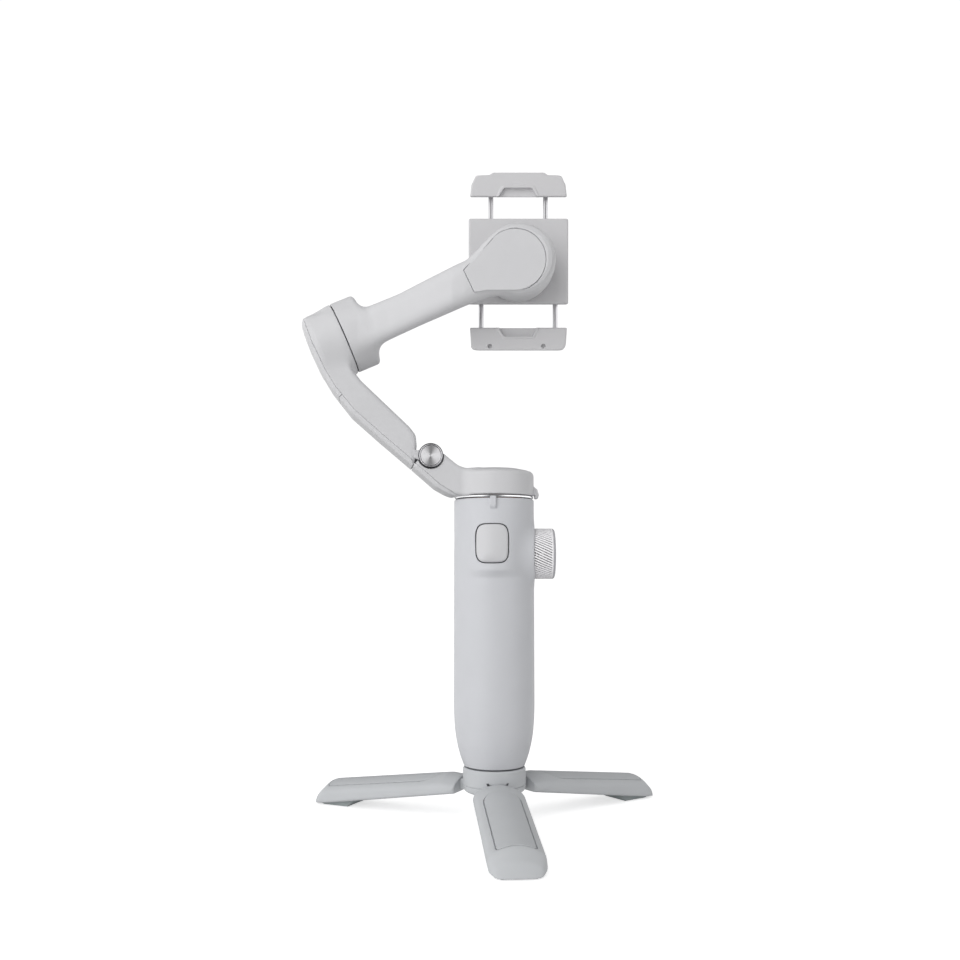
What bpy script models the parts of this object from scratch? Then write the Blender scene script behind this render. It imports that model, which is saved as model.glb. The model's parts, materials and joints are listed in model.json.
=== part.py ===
"""A three-axis phone gimbal on a folding mini tripod, one object for each separate piece.

Lengths are in millimetres and angles in degrees until a mesh or a place is made, which is in metres.
The handle's axis is +Z. The side with the trigger faces -Y, and the side with the thumb controls +Y.
"""

import math

import bmesh
import bpy
from mathutils import Matrix, Vector

MM = 0.001
GAP = 0.3                       # clearance between pieces that meet

# Where the handle's axis stands, from the middle of the whole object's footprint
AXIS_X = 4.445
AXIS_Y = 17.562

# Handle
HANDLE_R = 19.0
HANDLE_WALL = 2.0
HANDLE_LOW = 24.9
HANDLE_TOP = 149.3
TRIGGER_AT = (-1.1, 128.2)      # x, z of its centre
TRIGGER_HALF = (7.4, 8.9)
DIAL_R = 12.0
DIAL_Z = 123.6
DIAL_IN = 19.25
DIAL_OUT = 29.2
PANEL_LOW = 84.0
PANEL_HIGH = 142.0
PANEL_HALF_ANGLE = 38.0
STICK_Z = 128.0
STICK_PIVOT_Y = 14.6
RECORD_Z = 110.0
MODE_Z = 98.0
LIGHT_Z = 90.0
POWER_AZIMUTH = 150.0
POWER_Z = 128.0

# Tripod
HUB_R = 14.7
HUB_LOW = 13.0
HUB_TOP = 24.4
STUD_R = 3.1
LEG_AZIMUTHS = (-85.0, 35.0, 155.0)
LEG_PIN = (10.4, 15.6)          # distance from the axis, height
LEG_SLOPE = 6.7
LEG_START = 4.6                 # along the leg, from its pin
LEG_END = 87.2
LEG_TOP = 4.6                   # above the pin, across the leg
LEG_HALF_WIDTH = 11.7
PIN_R = 1.2

# Arm plane: yaw of the folding arm about the handle's axis
ARM_YAW = 6.0
ARM_HALF_DEPTH = 12.4
BASE_LOW = 151.1
BASE_TOP = 163.3
FOLD_AT = (-31.1, 169.0)        # hinge axis in the arm plane
KNUCKLE_R = 5.6
KNUCKLE_HALF = 7.6
EAR_IN = 7.9

# Motors
MOTOR_R = 17.4
BELL_OUT = 15.4
BELL_IN = 13.2
STATOR_R = 12.6
TILT_AT = (-71.9, 226.0)        # tilt motor's seam, in the arm plane
TILT_RISE = 24.2                # slope of the tilt axis in the arm plane

# Head, which leans towards -Y at its top
ROLL_AT = (11.0, 0.0, 258.8)
HEAD_LEAN = 5.0
HOUSING_R = 16.6
HOUSING_FRONT = -44.0
HOUSING_BACK = -17.6
CLAMP_MID = (0.45, 3.6)         # middle of the clamp, across and up from the roll axis
PLATE_HALF = (23.5, 20.2)
PLATE_BACK = -17.0
PLATE_FRONT = -8.3
PHONE_BACK = -6.0
UPPER_CONTACT = 37.2            # phone's edges, up and down from the middle of the clamp
LOWER_CONTACT = 34.2
ROD_R = 1.2
ROD_Y = -12.0
UPPER_ROD_X = 13.0
LOWER_ROD_X = 17.6
PINION_TEETH = 14
PINION_MODULE = 0.7


# ---- scene and materials ------------------------------------------------------------------------

def clear_scene():
    for obj in list(bpy.data.objects):
        bpy.data.objects.remove(obj, do_unlink=True)


def material(name, colour, roughness, metallic=0.0):
    mat = bpy.data.materials.new(name)
    mat.use_nodes = True
    shader = mat.node_tree.nodes["Principled BSDF"]
    shader.inputs["Base Color"].default_value = (*colour, 1.0)
    shader.inputs["Roughness"].default_value = roughness
    shader.inputs["Metallic"].default_value = metallic
    return mat


FINISHES = {
    "grey_plastic": ((0.60, 0.61, 0.62), 0.45, 0.0),
    "tripod_plastic": ((0.44, 0.46, 0.47), 0.50, 0.0),
    "pale_rubber": ((0.42, 0.43, 0.44), 0.80, 0.0),
    "dark_rubber": ((0.05, 0.05, 0.055), 0.85, 0.0),
    "dark_plastic": ((0.06, 0.06, 0.065), 0.50, 0.0),
    "aluminium": ((0.70, 0.70, 0.72), 0.30, 1.0),
    "bright_steel": ((0.80, 0.80, 0.81), 0.12, 1.0),
    "dark_steel": ((0.32, 0.32, 0.33), 0.40, 1.0),
    "brass": ((0.72, 0.55, 0.25), 0.35, 1.0),
    "copper": ((0.72, 0.38, 0.22), 0.40, 1.0),
    "board_green": ((0.02, 0.14, 0.07), 0.50, 0.0),
    "cell_wrap": ((0.10, 0.20, 0.45), 0.40, 0.0),
    "light_lens": ((0.85, 0.90, 0.88), 0.15, 0.0),
    "red_mark": ((0.55, 0.05, 0.05), 0.40, 0.0),
}


# ---- frames -------------------------------------------------------------------------------------

def frame(name, parent, origin=(0, 0, 0), rotation=None):
    """An empty at origin, in its parent's axes, with rotation as a 3 x 3 matrix."""
    empty = bpy.data.objects.new(name, None)
    bpy.context.collection.objects.link(empty)
    empty.parent = parent
    turn_by = rotation.to_4x4() if rotation else Matrix.Identity(4)
    empty.matrix_local = Matrix.Translation(Vector(origin) * MM) @ turn_by
    return empty


def about(axis, degrees):
    return Matrix.Rotation(math.radians(degrees), 3, axis)


# ---- mesh makers, each returning a bmesh in millimetres ------------------------------------------

def place(point, height, axis):
    """A 2-D outline point and a height along the axis, as x, y, z."""
    u, v = point
    return {"X": (height, u, v), "Y": (u, height, v), "Z": (u, v, height)}[axis]


def loft(rings):
    """Rings of equal length bridged in turn, with flat ends."""
    bm = bmesh.new()
    rows = [[bm.verts.new(p) for p in ring] for ring in rings]
    count = len(rings[0])
    for low, high in zip(rows, rows[1:]):
        for i in range(count):
            j = (i + 1) % count
            bm.faces.new((low[i], low[j], high[j], high[i]))
    bm.faces.new(rows[0])
    bm.faces.new(rows[-1])
    bmesh.ops.recalc_face_normals(bm, faces=bm.faces)
    return bm


def prism(outline, low, high, axis):
    return loft([[place(p, h, axis) for p in outline] for h in (low, high)])


def box(low, high):
    outline = [(low[0], low[1]), (high[0], low[1]), (high[0], high[1]), (low[0], high[1])]
    return prism(outline, low[2], high[2], "Z")


def circle(radius, segments, centre=(0, 0)):
    steps = [2 * math.pi * i / segments for i in range(segments)]
    return [(centre[0] + radius * math.cos(a), centre[1] + radius * math.sin(a)) for a in steps]


def arc(centre, radius, start, end, segments):
    steps = [math.radians(start + (end - start) * i / segments) for i in range(segments + 1)]
    return [(centre[0] + radius * math.cos(a), centre[1] + radius * math.sin(a)) for a in steps]


def rod(radius, low, high, axis, centre=(0, 0), segments=16):
    return prism(circle(radius, segments, centre), low, high, axis)


def tube(outer, inner, low, high, axis, centre=(0, 0), segments=24):
    return turn([(inner, low), (outer, low), (outer, high), (inner, high)], axis, centre, segments)


def turn(profile, axis="Z", centre=(0, 0), segments=32):
    """A closed profile of (radius, height) points turned about an axis through centre."""
    bm = bmesh.new()
    rings = []
    for radius, height in profile:
        if radius < 1e-6:
            rings.append([bm.verts.new(place(centre, height, axis))] * segments)
        else:
            ring = circle(radius, segments, centre)
            rings.append([bm.verts.new(place(p, height, axis)) for p in ring])
    for a, b in zip(rings, rings[1:] + rings[:1]):
        for i in range(segments):
            j = (i + 1) % segments
            corners = list(dict.fromkeys((a[i], a[j], b[j], b[i])))
            if len(corners) > 2:
                bm.faces.new(corners)
    bmesh.ops.recalc_face_normals(bm, faces=bm.faces)
    return bm


def sector(inner, outer, middle, half_angle, segments=10):
    """An outline of part of a ring, in plan."""
    start, end = middle - half_angle, middle + half_angle
    return arc((0, 0), outer, start, end, segments) + arc((0, 0), inner, end, start, segments)


def squircle(half_w, half_h, centre=(0, 0), power=4.0, segments=28, grow=0.0):
    points = []
    for i in range(segments):
        a = 2 * math.pi * i / segments
        c, s = math.cos(a), math.sin(a)
        x = math.copysign(abs(c) ** (2 / power), c) * (half_w + grow)
        y = math.copysign(abs(s) ** (2 / power), s) * (half_h + grow)
        points.append((centre[0] + x, centre[1] + y))
    return points


# ---- objects ------------------------------------------------------------------------------------

def link(name, bm, parent):
    bmesh.ops.scale(bm, vec=(MM, MM, MM), verts=bm.verts)
    mesh = bpy.data.meshes.new(name)
    bm.to_mesh(mesh)
    bm.free()
    obj = bpy.data.objects.new(name, mesh)
    bpy.context.collection.objects.link(obj)
    obj.parent = parent
    return obj


def piece(name, bm, parent, finish, smooth=35.0):
    """One sub-part, with a material of its own."""
    obj = link(name, bm, parent)
    obj.data.materials.append(material(name, *FINISHES[finish]))
    obj.data.shade_smooth()
    obj.data.set_sharp_from_angle(angle=math.radians(smooth))
    return obj


def tool(bm, obj, operation, parent=None):
    """Cuts a shape from a piece, adds it or keeps only what both hold."""
    helper = link(f"{obj.name}_tool", bm, parent or obj.parent)
    helper.hide_render = True
    helper.display_type = "WIRE"
    step = obj.modifiers.new(operation.lower(), "BOOLEAN")
    step.operation = operation
    step.solver = "EXACT"
    step.object = helper


def cut(obj, bm, parent=None):
    tool(bm, obj, "DIFFERENCE", parent)


def add(obj, bm, parent=None):
    tool(bm, obj, "UNION", parent)


# ---- handle -------------------------------------------------------------------------------------

def handle_profile():
    """Outer side from the base up, the deck that carries the motor, and the inner side down."""
    inner = HANDLE_R - HANDLE_WALL
    outside = [(5.8, HANDLE_LOW), (13.4, HANDLE_LOW), (14.4, 25.8), (16.0, 29.4), (17.2, 34.0)]
    outside += [(18.2, 40.0), (18.8, 47.0), (HANDLE_R, 56.0)]
    outside += [(HANDLE_R, HANDLE_TOP - 0.4), (HANDLE_R - 0.4, HANDLE_TOP)]
    deck = [(5.0, HANDLE_TOP), (5.0, HANDLE_TOP - 2.0), (inner, HANDLE_TOP - 2.0)]
    inside = [(inner, 52.0), (15.6, 38.0), (13.4, 30.5), (5.8, 30.5)]
    return outside + deck + inside


def radial_hole(obj, outline, azimuth, low, high):
    """A cut along a radius of the handle; the outline is (across, height)."""
    side = frame(f"{obj.name}_side", obj.parent, rotation=about("Z", azimuth))
    cut(obj, prism(outline, low, high, "X"), side)


def make_handle(root):
    shell = piece("handle_shell", turn(handle_profile(), segments=48), root, "grey_plastic")
    add(shell, rod(13.0, 13.2, DIAL_IN - 0.35, "X", (0, DIAL_Z), 36))
    key = [(-18.4, 144.6), (-19.8, 144.6), (-20.4, 145.4), (-20.5, 149.5), (-19.9, 150.1)]
    key += [(-19.1, 150.1), (-19.1, 149.1), (-18.4, 149.1)]
    add(shell, prism(key, -2.3, 1.0, "X"))
    cut(shell, prism(squircle(*TRIGGER_HALF, TRIGGER_AT, grow=GAP), -22.0, -13.0, "Y"))
    window = sector(HANDLE_R - 3.5, HANDLE_R + 2.0, 90.0, PANEL_HALF_ANGLE + 0.9)
    cut(shell, prism(window, PANEL_LOW - GAP, PANEL_HIGH + GAP, "Z"))
    cut(shell, rod(2.4, 12.0, 22.0, "X", (0, DIAL_Z)))
    radial_hole(shell, squircle(1.6, 4.4, (0, 130.0), 3.0, 20, GAP), 183.0, 12.0, 22.0)
    radial_hole(shell, squircle(2.6, 4.6, (0, POWER_Z), 3.0, 20, GAP), POWER_AZIMUTH, 14.0, 22.0)

    panel = sector(HANDLE_R - HANDLE_WALL + GAP, HANDLE_R + 0.3, 90.0, PANEL_HALF_ANGLE)
    panel = piece("control_panel", prism(panel, PANEL_LOW, PANEL_HIGH, "Z"), root, "dark_plastic")
    cut(panel, rod(5.9, 12.0, 22.0, "Y", (0, STICK_Z), 24))
    cut(panel, rod(4.5, 12.0, 22.0, "Y", (0, RECORD_Z), 24))
    cut(panel, prism(squircle(4.0, 2.4, (0, MODE_Z), 3.0, 20, GAP), 12.0, 22.0, "Y"))
    cut(panel, prism(squircle(3.0, 0.8, (0, LIGHT_Z), 3.0, 16, GAP), 12.0, 22.0, "Y"))

    light = squircle(3.0, 0.8, (0, LIGHT_Z), 3.0, 16)
    piece("status_light", prism(light, 17.0, 19.2, "Y"), root, "light_lens")
    piece("trim_ring", tube(18.7, 16.2, 149.6, 150.8, "Z", segments=48), root, "bright_steel")
    piece("base_insert", tube(5.4, STUD_R + GAP, 25.2, 33.0, "Z"), root, "brass")
    cell = [(0, 42.0), (9.1, 42.0), (9.1, 105.8), (3.0, 105.8), (3.0, 107.0), (0, 107.0)]
    piece("battery_cell", turn(cell, "Z", (0, -2.0)), root, "cell_wrap")
    cradle = [(x, y - 2.0) for x, y in sector(9.5, 10.7, -90.0, 75.0, 12)]
    piece("battery_cradle", prism(cradle, 40.0, 110.0, "Z"), root, "dark_plastic")
    piece("main_board", box((-9.0, 10.0, 66.0), (9.0, 11.4, 138.0)), root, "board_green")
    make_usb_port(root)


def make_usb_port(root):
    side = frame("usb_side", root, rotation=about("Z", 183.0))
    port = prism(squircle(1.6, 4.4, (0, 130.0), 3.0, 20), 12.5, 18.7, "X")
    port = piece("usb_port", port, side, "dark_steel")
    cut(port, prism(squircle(1.2, 4.0, (0, 130.0), 3.0, 20), 14.0, 20.0, "X"))


def make_controls(root):
    trigger = frame("trigger_slide", root)
    button = prism(squircle(*TRIGGER_HALF, TRIGGER_AT), -21.0, -14.4, "Y")
    button = piece("trigger_button", button, trigger, "grey_plastic")
    tool(rod(HANDLE_R + 0.6, 110.0, 146.0, "Z", segments=64), button, "INTERSECT")

    dial = frame("dial_axis", root, (0, 0, DIAL_Z))
    wheel = [(0, 12.6), (2.0, 12.6), (2.0, DIAL_IN), (DIAL_R - 0.6, DIAL_IN)]
    wheel += [(DIAL_R, DIAL_IN + 0.6), (DIAL_R, DIAL_OUT - 1.6)]
    wheel += [(DIAL_R - 0.5, DIAL_OUT - 0.5), (DIAL_R - 1.6, DIAL_OUT), (0, DIAL_OUT)]
    piece("dial_wheel", turn(wheel, "X", segments=40), dial, "aluminium")

    sway = frame("stick_sway_axis", root, (0, STICK_PIVOT_Y, STICK_Z))
    piece("joystick_yoke", tube(5.0, 3.0, -1.4, 1.4, "Y", segments=20), sway, "dark_plastic")
    nod = frame("stick_nod_axis", sway)
    cap = [(0, -0.8), (1.8, -0.8), (1.8, 5.6), (4.6, 6.2), (5.4, 7.2), (5.3, 8.2)]
    cap += [(3.6, 9.0), (2.0, 8.5), (0, 8.3)]
    piece("joystick_cap", turn(cap, "Y", segments=24), nod, "dark_rubber")

    record = frame("record_slide", root)
    disc = [(0, 15.6), (4.2, 15.6), (4.2, 19.6), (3.7, 20.1), (0, 20.1)]
    piece("record_button", turn(disc, "Y", (0, RECORD_Z), 24), record, "red_mark")
    mode = frame("mode_slide", root)
    pill = squircle(4.0, 2.4, (0, MODE_Z), 3.0, 20)
    piece("mode_button", prism(pill, 15.6, 20.0, "Y"), mode, "dark_rubber")
    power = frame("power_slide", root, rotation=about("Z", POWER_AZIMUTH))
    pill = squircle(2.6, 4.6, (0, POWER_Z), 3.0, 20)
    piece("power_button", prism(pill, 15.4, 19.5, "X"), power, "grey_plastic")


# ---- tripod -------------------------------------------------------------------------------------

def make_hub(root):
    profile = [(0, HUB_LOW), (HUB_R - 1.6, HUB_LOW), (HUB_R - 0.2, HUB_LOW + 1.8), (HUB_R, 18.6)]
    profile += [(HUB_R, HUB_TOP - 0.6), (HUB_R - 0.6, HUB_TOP), (0, HUB_TOP)]
    hub = piece("tripod_hub", turn(profile, segments=48), root, "tripod_plastic")
    cut(hub, rod(STUD_R + GAP, 17.0, 30.0, "Z", segments=20))
    stud = [(0, 17.3), (STUD_R, 17.3), (STUD_R, 31.4), (STUD_R - 0.6, 32.0), (0, 32.0)]
    piece("tripod_stud", turn(stud, segments=20), root, "bright_steel")
    for number, azimuth in enumerate(LEG_AZIMUTHS, 1):
        side = frame(f"leg_side_{number}", root, rotation=about("Z", azimuth))
        cut(hub, box((6.2, -4.1, 10.0), (18.0, 4.1, 19.6)), side)
        cut(hub, rod(PIN_R + 0.15, -6.9, 6.9, "Y", LEG_PIN), side)
        piece(f"leg_pin_{number}", rod(PIN_R, -6.6, 6.6, "Y", LEG_PIN), side, "bright_steel")
        make_leg(number, side)


def leg_ring(at, half_width, top, bottom):
    """A leg's section: nearly flat on top, with round shoulders and straight sides."""
    shoulder = min(4.0, 0.6 * (top - bottom))
    half = [(half_width - 3.4, top), (half_width - 1.2, top - 0.3 * shoulder)]
    half += [(half_width, top - shoulder), (half_width - 0.3, bottom)]
    right = [(at, y, z) for y, z in half]
    left = [(at, -y, z) for y, z in reversed(half)]
    return [(at, 0, top + 0.35)] + right + left


def make_leg(number, side):
    """Its frame has the pin as origin, +X along the leg and +Z across it, out of its top."""
    fold = frame(f"leg_fold_{number}", side, (LEG_PIN[0], 0, LEG_PIN[1]), about("Y", LEG_SLOPE))
    rings = [leg_ring(LEG_START, LEG_HALF_WIDTH - 0.8, LEG_TOP - 0.5, -2.2)]
    rings += [leg_ring(LEG_START + 4, LEG_HALF_WIDTH, LEG_TOP, -2.4)]
    rings += [leg_ring(72.0, LEG_HALF_WIDTH, LEG_TOP, -3.8)]
    rings += [leg_ring(78.5, LEG_HALF_WIDTH - 0.1, LEG_TOP - 0.5, -3.9)]
    rings += [leg_ring(82.5, LEG_HALF_WIDTH - 1.2, LEG_TOP - 1.9, -3.95)]
    rings += [leg_ring(85.5, LEG_HALF_WIDTH - 2.9, LEG_TOP - 4.2, -4.0)]
    rings += [leg_ring(LEG_END, LEG_HALF_WIDTH - 4.6, -2.6, -4.0)]
    leg = piece(f"leg_{number}", loft(rings), fold, "tripod_plastic")
    tongue = arc((0, 0), 3.1, 90, 270, 8) + [(2.0, -2.1), (9.0, -2.1), (9.0, 3.1)]
    add(leg, prism(tongue, -3.5, 3.5, "Y"))
    cut(leg, box((9.5, -9.6, -6.0), (68.0, 9.6, 2.2)))
    cut(leg, rod(PIN_R + 0.15, -5.0, 5.0, "Y"))
    cut(leg, prism(leg_panel_outline(GAP), LEG_TOP - 0.9, LEG_TOP + 3, "Z"))
    panel = prism(leg_panel_outline(0), LEG_TOP - 0.6, LEG_TOP + 0.2, "Z")
    piece(f"leg_panel_{number}", panel, fold, "pale_rubber")
    foot = leg_foot_outline()
    piece(f"leg_foot_{number}", prism(foot, -8.0, 8.0, "Y"), fold, "pale_rubber")


def leg_panel_outline(grow):
    """Round at the hub end, and straight with small corners near the tip."""
    half = 8.0 + grow
    outline = arc((16.5 + half, 0), half, 90, 270, 10)
    return outline + [(75.5 + grow, -half), (77.0 + grow, -half + 2), (77.0 + grow, half - 2),
                      (75.5 + grow, half)]


def leg_foot_outline():
    """In the leg's frame: its sole is level when the leg is open."""
    drop = math.radians(LEG_SLOPE)
    points = []
    for distance in (66.5, 80.0):
        points.append((distance, -LEG_PIN[1] / math.cos(drop) + distance * math.tan(drop)))
    return points + [(84.0, -4.3), (62.0, -4.0 + GAP - 0.25)]


# ---- folding arm --------------------------------------------------------------------------------

def stator(low, high, hub_low, hub_high):
    """A motor's fixed core on its tube, with a flange at its foot."""
    return [(2.7, hub_low), (4.6, hub_low), (4.6, low - 2.0), (14.0, low - 2.0), (14.0, low - 1.0),
            (6.0, low - 1.0), (6.0, low), (STATOR_R, low), (STATOR_R, high), (2.7, hub_high)]


def make_yaw_motor(root, pan):
    core = stator(151.6, 158.0, 140.0, 158.0)
    piece("yaw_stator", turn(core, segments=24), root, "copper")
    bell = [(0, 141.0), (2.3, 141.0), (2.3, 158.6), (BELL_IN, 158.6), (BELL_IN, 151.8)]
    bell += [(BELL_OUT, 151.8), (BELL_OUT, 160.4), (0, 160.4)]
    piece("yaw_rotor", turn(bell, segments=28), pan, "dark_steel")


def make_arm_base(pan):
    cap = [(0, BASE_LOW), (18.7, BASE_LOW), (HANDLE_R, BASE_LOW + 0.3), (HANDLE_R, BASE_TOP - 2)]
    cap += [(HANDLE_R - 0.6, BASE_TOP - 0.6), (HANDLE_R - 2, BASE_TOP), (0, BASE_TOP + 0.4)]
    base = piece("arm_base", turn(cap, segments=44), pan, "grey_plastic")
    arm = [(-8.0, BASE_LOW + 0.05), (-19.3, BASE_LOW + 0.05), (-21.4, 152.3), (-26.6, 155.2)]
    arm += [(-37.5, 165.2), (-36.78, 167.1), (-25.0, 170.1), (-18.4, 165.2), (-15.2, 163.5)]
    arm += [(-8.0, 163.1)]
    add(base, prism(arm, -ARM_HALF_DEPTH, ARM_HALF_DEPTH, "Y"))
    add(base, rod(KNUCKLE_R, -KNUCKLE_HALF, KNUCKLE_HALF, "Y", FOLD_AT, 24))
    lug = [(19.3, 149.7), (21.0, 149.7), (21.4, 151.5), (20.6, 154.0), (18.2, 155.6)]
    lug += [(17.5, 151.4), (19.3, 151.4)]
    add(base, prism(lug, -3.0, 3.0, "Y"), frame("stop_lug_side", pan, rotation=about("Z", -6.0)))
    cut(base, rod(15.8, 150.0, 160.8, "Z", segments=40))
    for low, high in ((-14.0, -KNUCKLE_HALF - 0.05), (KNUCKLE_HALF + 0.05, 14.0)):
        cut(base, rod(KNUCKLE_R + 0.5, low, high, "Y", FOLD_AT, 28))
    cut(base, rod(2.2, -10.0, 10.0, "Y", FOLD_AT))
    piece("hinge_pin", rod(1.9, -12.2, 12.2, "Y", FOLD_AT), pan, "bright_steel")
    strip = [(-19.6, 150.8), (-20.9, 150.5), (-23.6, 151.0), (-28.3, 153.7), (-39.1, 163.9)]
    strip += [(-37.7, 164.9), (-26.8, 154.9), (-21.6, 152.0)]
    strip = prism(strip, -ARM_HALF_DEPTH, ARM_HALF_DEPTH, "Y")
    strip = piece("arm_base_cover", strip, pan, "grey_plastic")
    cut(strip, rod(HANDLE_R + 0.35, 145.0, 155.0, "Z", segments=44))


def upper_arm_outline():
    """Outer side from the hinge up, round the motor's end, and the inner side down."""
    outer = [(-38.6, 166.4), (-54.0, 179.2), (-66.8, 190.5), (-72.6, 197.6), (-75.5, 201.5)]
    outer += [(-80.0, 209.6), (-85.6, 221.5), (-88.0, 228.0)]
    end = [(-86.0, 232.0), (-80.0, 236.0), (-74.0, 224.0), (-66.4, 207.4)]
    inner = [(-62.0, 203.4), (-40.6, 183.0), (-38.4, 179.6), (-37.4, 171.5), (-37.06, 167.5)]
    return outer + end + inner


def make_upper_arm(fold, tilt_seat):
    """Drawn in the arm plane, so the fold frame carries a second one with the plane's origin."""
    plane = frame("upper_arm_plane", fold, (-FOLD_AT[0], 0, -FOLD_AT[1]))
    body = prism(upper_arm_outline(), -ARM_HALF_DEPTH, ARM_HALF_DEPTH, "Y")
    arm = piece("upper_arm", body, plane, "grey_plastic")
    can = [(0, -13.9), (MOTOR_R - 2.6, -13.9), (MOTOR_R - 0.6, -12.9), (MOTOR_R, -10.9)]
    can += [(MOTOR_R, -0.3), (0, -0.3)]
    add(arm, turn(can, "X", segments=44), tilt_seat)
    cut(arm, rod(15.8, -7.0, 2.0, "X", segments=40), tilt_seat)
    web = [(-38.6, 174.5), (-34.4, 173.2), (-32.0, 169.0), (-36.3, 166.8), (-37.5, 167.4)]
    for sign in (-1, 1):
        low, high = sorted((sign * EAR_IN, sign * (ARM_HALF_DEPTH - 0.2)))
        add(arm, prism(web, low, high, "Y"))
        add(arm, rod(KNUCKLE_R, low, high, "Y", FOLD_AT, 24))
    cut(arm, rod(2.2, -14.0, 14.0, "Y", FOLD_AT))
    for name, low, high in (("hinge_disc", -13.6, -12.5), ("hinge_rear_cap", 12.5, 13.4)):
        piece(name, rod(5.3, low, high, "Y", FOLD_AT, 32), plane, "bright_steel")
    make_arm_covers(plane, tilt_seat)
    core = stator(-2.4, 4.0, -6.6, 4.0)
    piece("tilt_stator", turn(core, "X", segments=24), tilt_seat, "copper")


def make_arm_covers(plane, tilt_seat):
    """Two strips along the outer spine, which meet at a short seam at the arm's bend."""
    lower = [(-39.6, 164.2), (-55.0, 177.3), (-68.1, 188.8), (-73.9, 195.9)]
    lower += [(-72.4, 197.0), (-66.6, 190.2), (-53.8, 178.9), (-38.4, 165.9)]
    upper = [(-74.1, 196.2), (-77.1, 200.1), (-82.0, 208.5), (-88.0, 221.1), (-91.0, 229.2)]
    upper += [(-91.3, 232.2), (-90.3, 233.6), (-88.2, 228.4), (-85.9, 221.4), (-80.3, 209.4)]
    upper += [(-75.8, 201.3), (-72.9, 197.3)]
    for name, outline in (("upper_arm_cover", lower), ("tilt_motor_cover", upper)):
        strip = piece(name, prism(outline, -ARM_HALF_DEPTH, ARM_HALF_DEPTH, "Y"), plane,
                      "grey_plastic")
    can = [(0, -14.2), (MOTOR_R - 2.5, -14.2), (MOTOR_R - 0.4, -13.1), (MOTOR_R + 0.3, -11.0)]
    can += [(MOTOR_R + 0.3, 2.0), (0, 2.0)]
    cut(strip, turn(can, "X", segments=44), tilt_seat)


# ---- roll arm -----------------------------------------------------------------------------------

def arm_ring(centre, half_high, half_deep, along):
    """A rounded section of the roll arm, square to the direction it runs in."""
    side = along.cross(Vector((0, 1, 0))).normalized()
    deep = along.cross(side).normalized()
    points = squircle(half_high, half_deep, power=3.4, segments=20)
    return [tuple(centre + side * u + deep * v) for u, v in points]


def make_roll_arm(tilt, head):
    """The tilt motor's barrel, the arm, and the roll motor's housing, in one shell."""
    barrel = [(0, 0.1), (MOTOR_R, 0.1), (MOTOR_R, 9.0), (MOTOR_R - 0.6, 10.4)]
    barrel += [(MOTOR_R - 2.2, 11.2), (0, 11.2)]
    arm = piece("roll_arm", turn(barrel, "X", segments=44), tilt, "grey_plastic")
    puck = [(0, HOUSING_BACK), (HOUSING_R - 1.2, HOUSING_BACK), (HOUSING_R, HOUSING_BACK - 1.6)]
    puck += [(HOUSING_R, -36.0), (HOUSING_R - 0.8, -40.6), (HOUSING_R - 2.6, -43.2)]
    puck += [(HOUSING_R - 5.0, HOUSING_FRONT), (0, HOUSING_FRONT)]
    add(arm, turn(puck, "Y", segments=44), head)
    start, end = Vector((-72.6, -17.8, -26.0)), Vector((-20.0, -37.6, -7.4))
    along = (end - start).normalized()
    stops = (-0.10, 0.15, 0.45, 0.75, 0.95, 1.15)
    highs = (9.6, 8.8, 8.6, 8.8, 9.6, 11.0)
    rings = []
    for share, half_high in zip(stops, highs):
        rings.append(arm_ring(start + (end - start) * share, half_high, 6.4, along))
    add(arm, loft(rings), head)
    cut(arm, rod(15.8, -2.0, 8.7, "X", segments=40), tilt)
    cut(arm, rod(14.8, -37.4, -10.0, "Y", segments=40), head)
    cut(arm, prism(teardrop(GAP), HOUSING_FRONT + 1.5, -60.0, "Y"), head)
    cover = prism(teardrop(0), HOUSING_FRONT + 1.2, HOUSING_FRONT - 0.1, "Y")
    piece("roll_arm_cover", cover, head, "grey_plastic")
    bell = [(0, -5.6), (2.3, -5.6), (2.3, 4.6), (BELL_IN, 4.6), (BELL_IN, -2.2)]
    bell += [(BELL_OUT, -2.2), (BELL_OUT, 8.3), (0, 8.3)]
    piece("tilt_rotor", turn(bell, "X", segments=28), tilt, "dark_steel")


def teardrop(grow):
    """The front cover: round about the motor, running to a square end on the arm."""
    outline = arc((-2.0, -1.1), 13.7 + grow, -92, 138, 22)
    outline += [(-15.4 - grow, 4.2 + grow), (-19.6, -1.0 + grow), (-24.6 - grow, -5.4 + grow)]
    return outline + [(-20.2 - grow, -15.6 - grow), (-12.5, -14.2 - grow)]


# ---- clamp --------------------------------------------------------------------------------------

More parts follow.
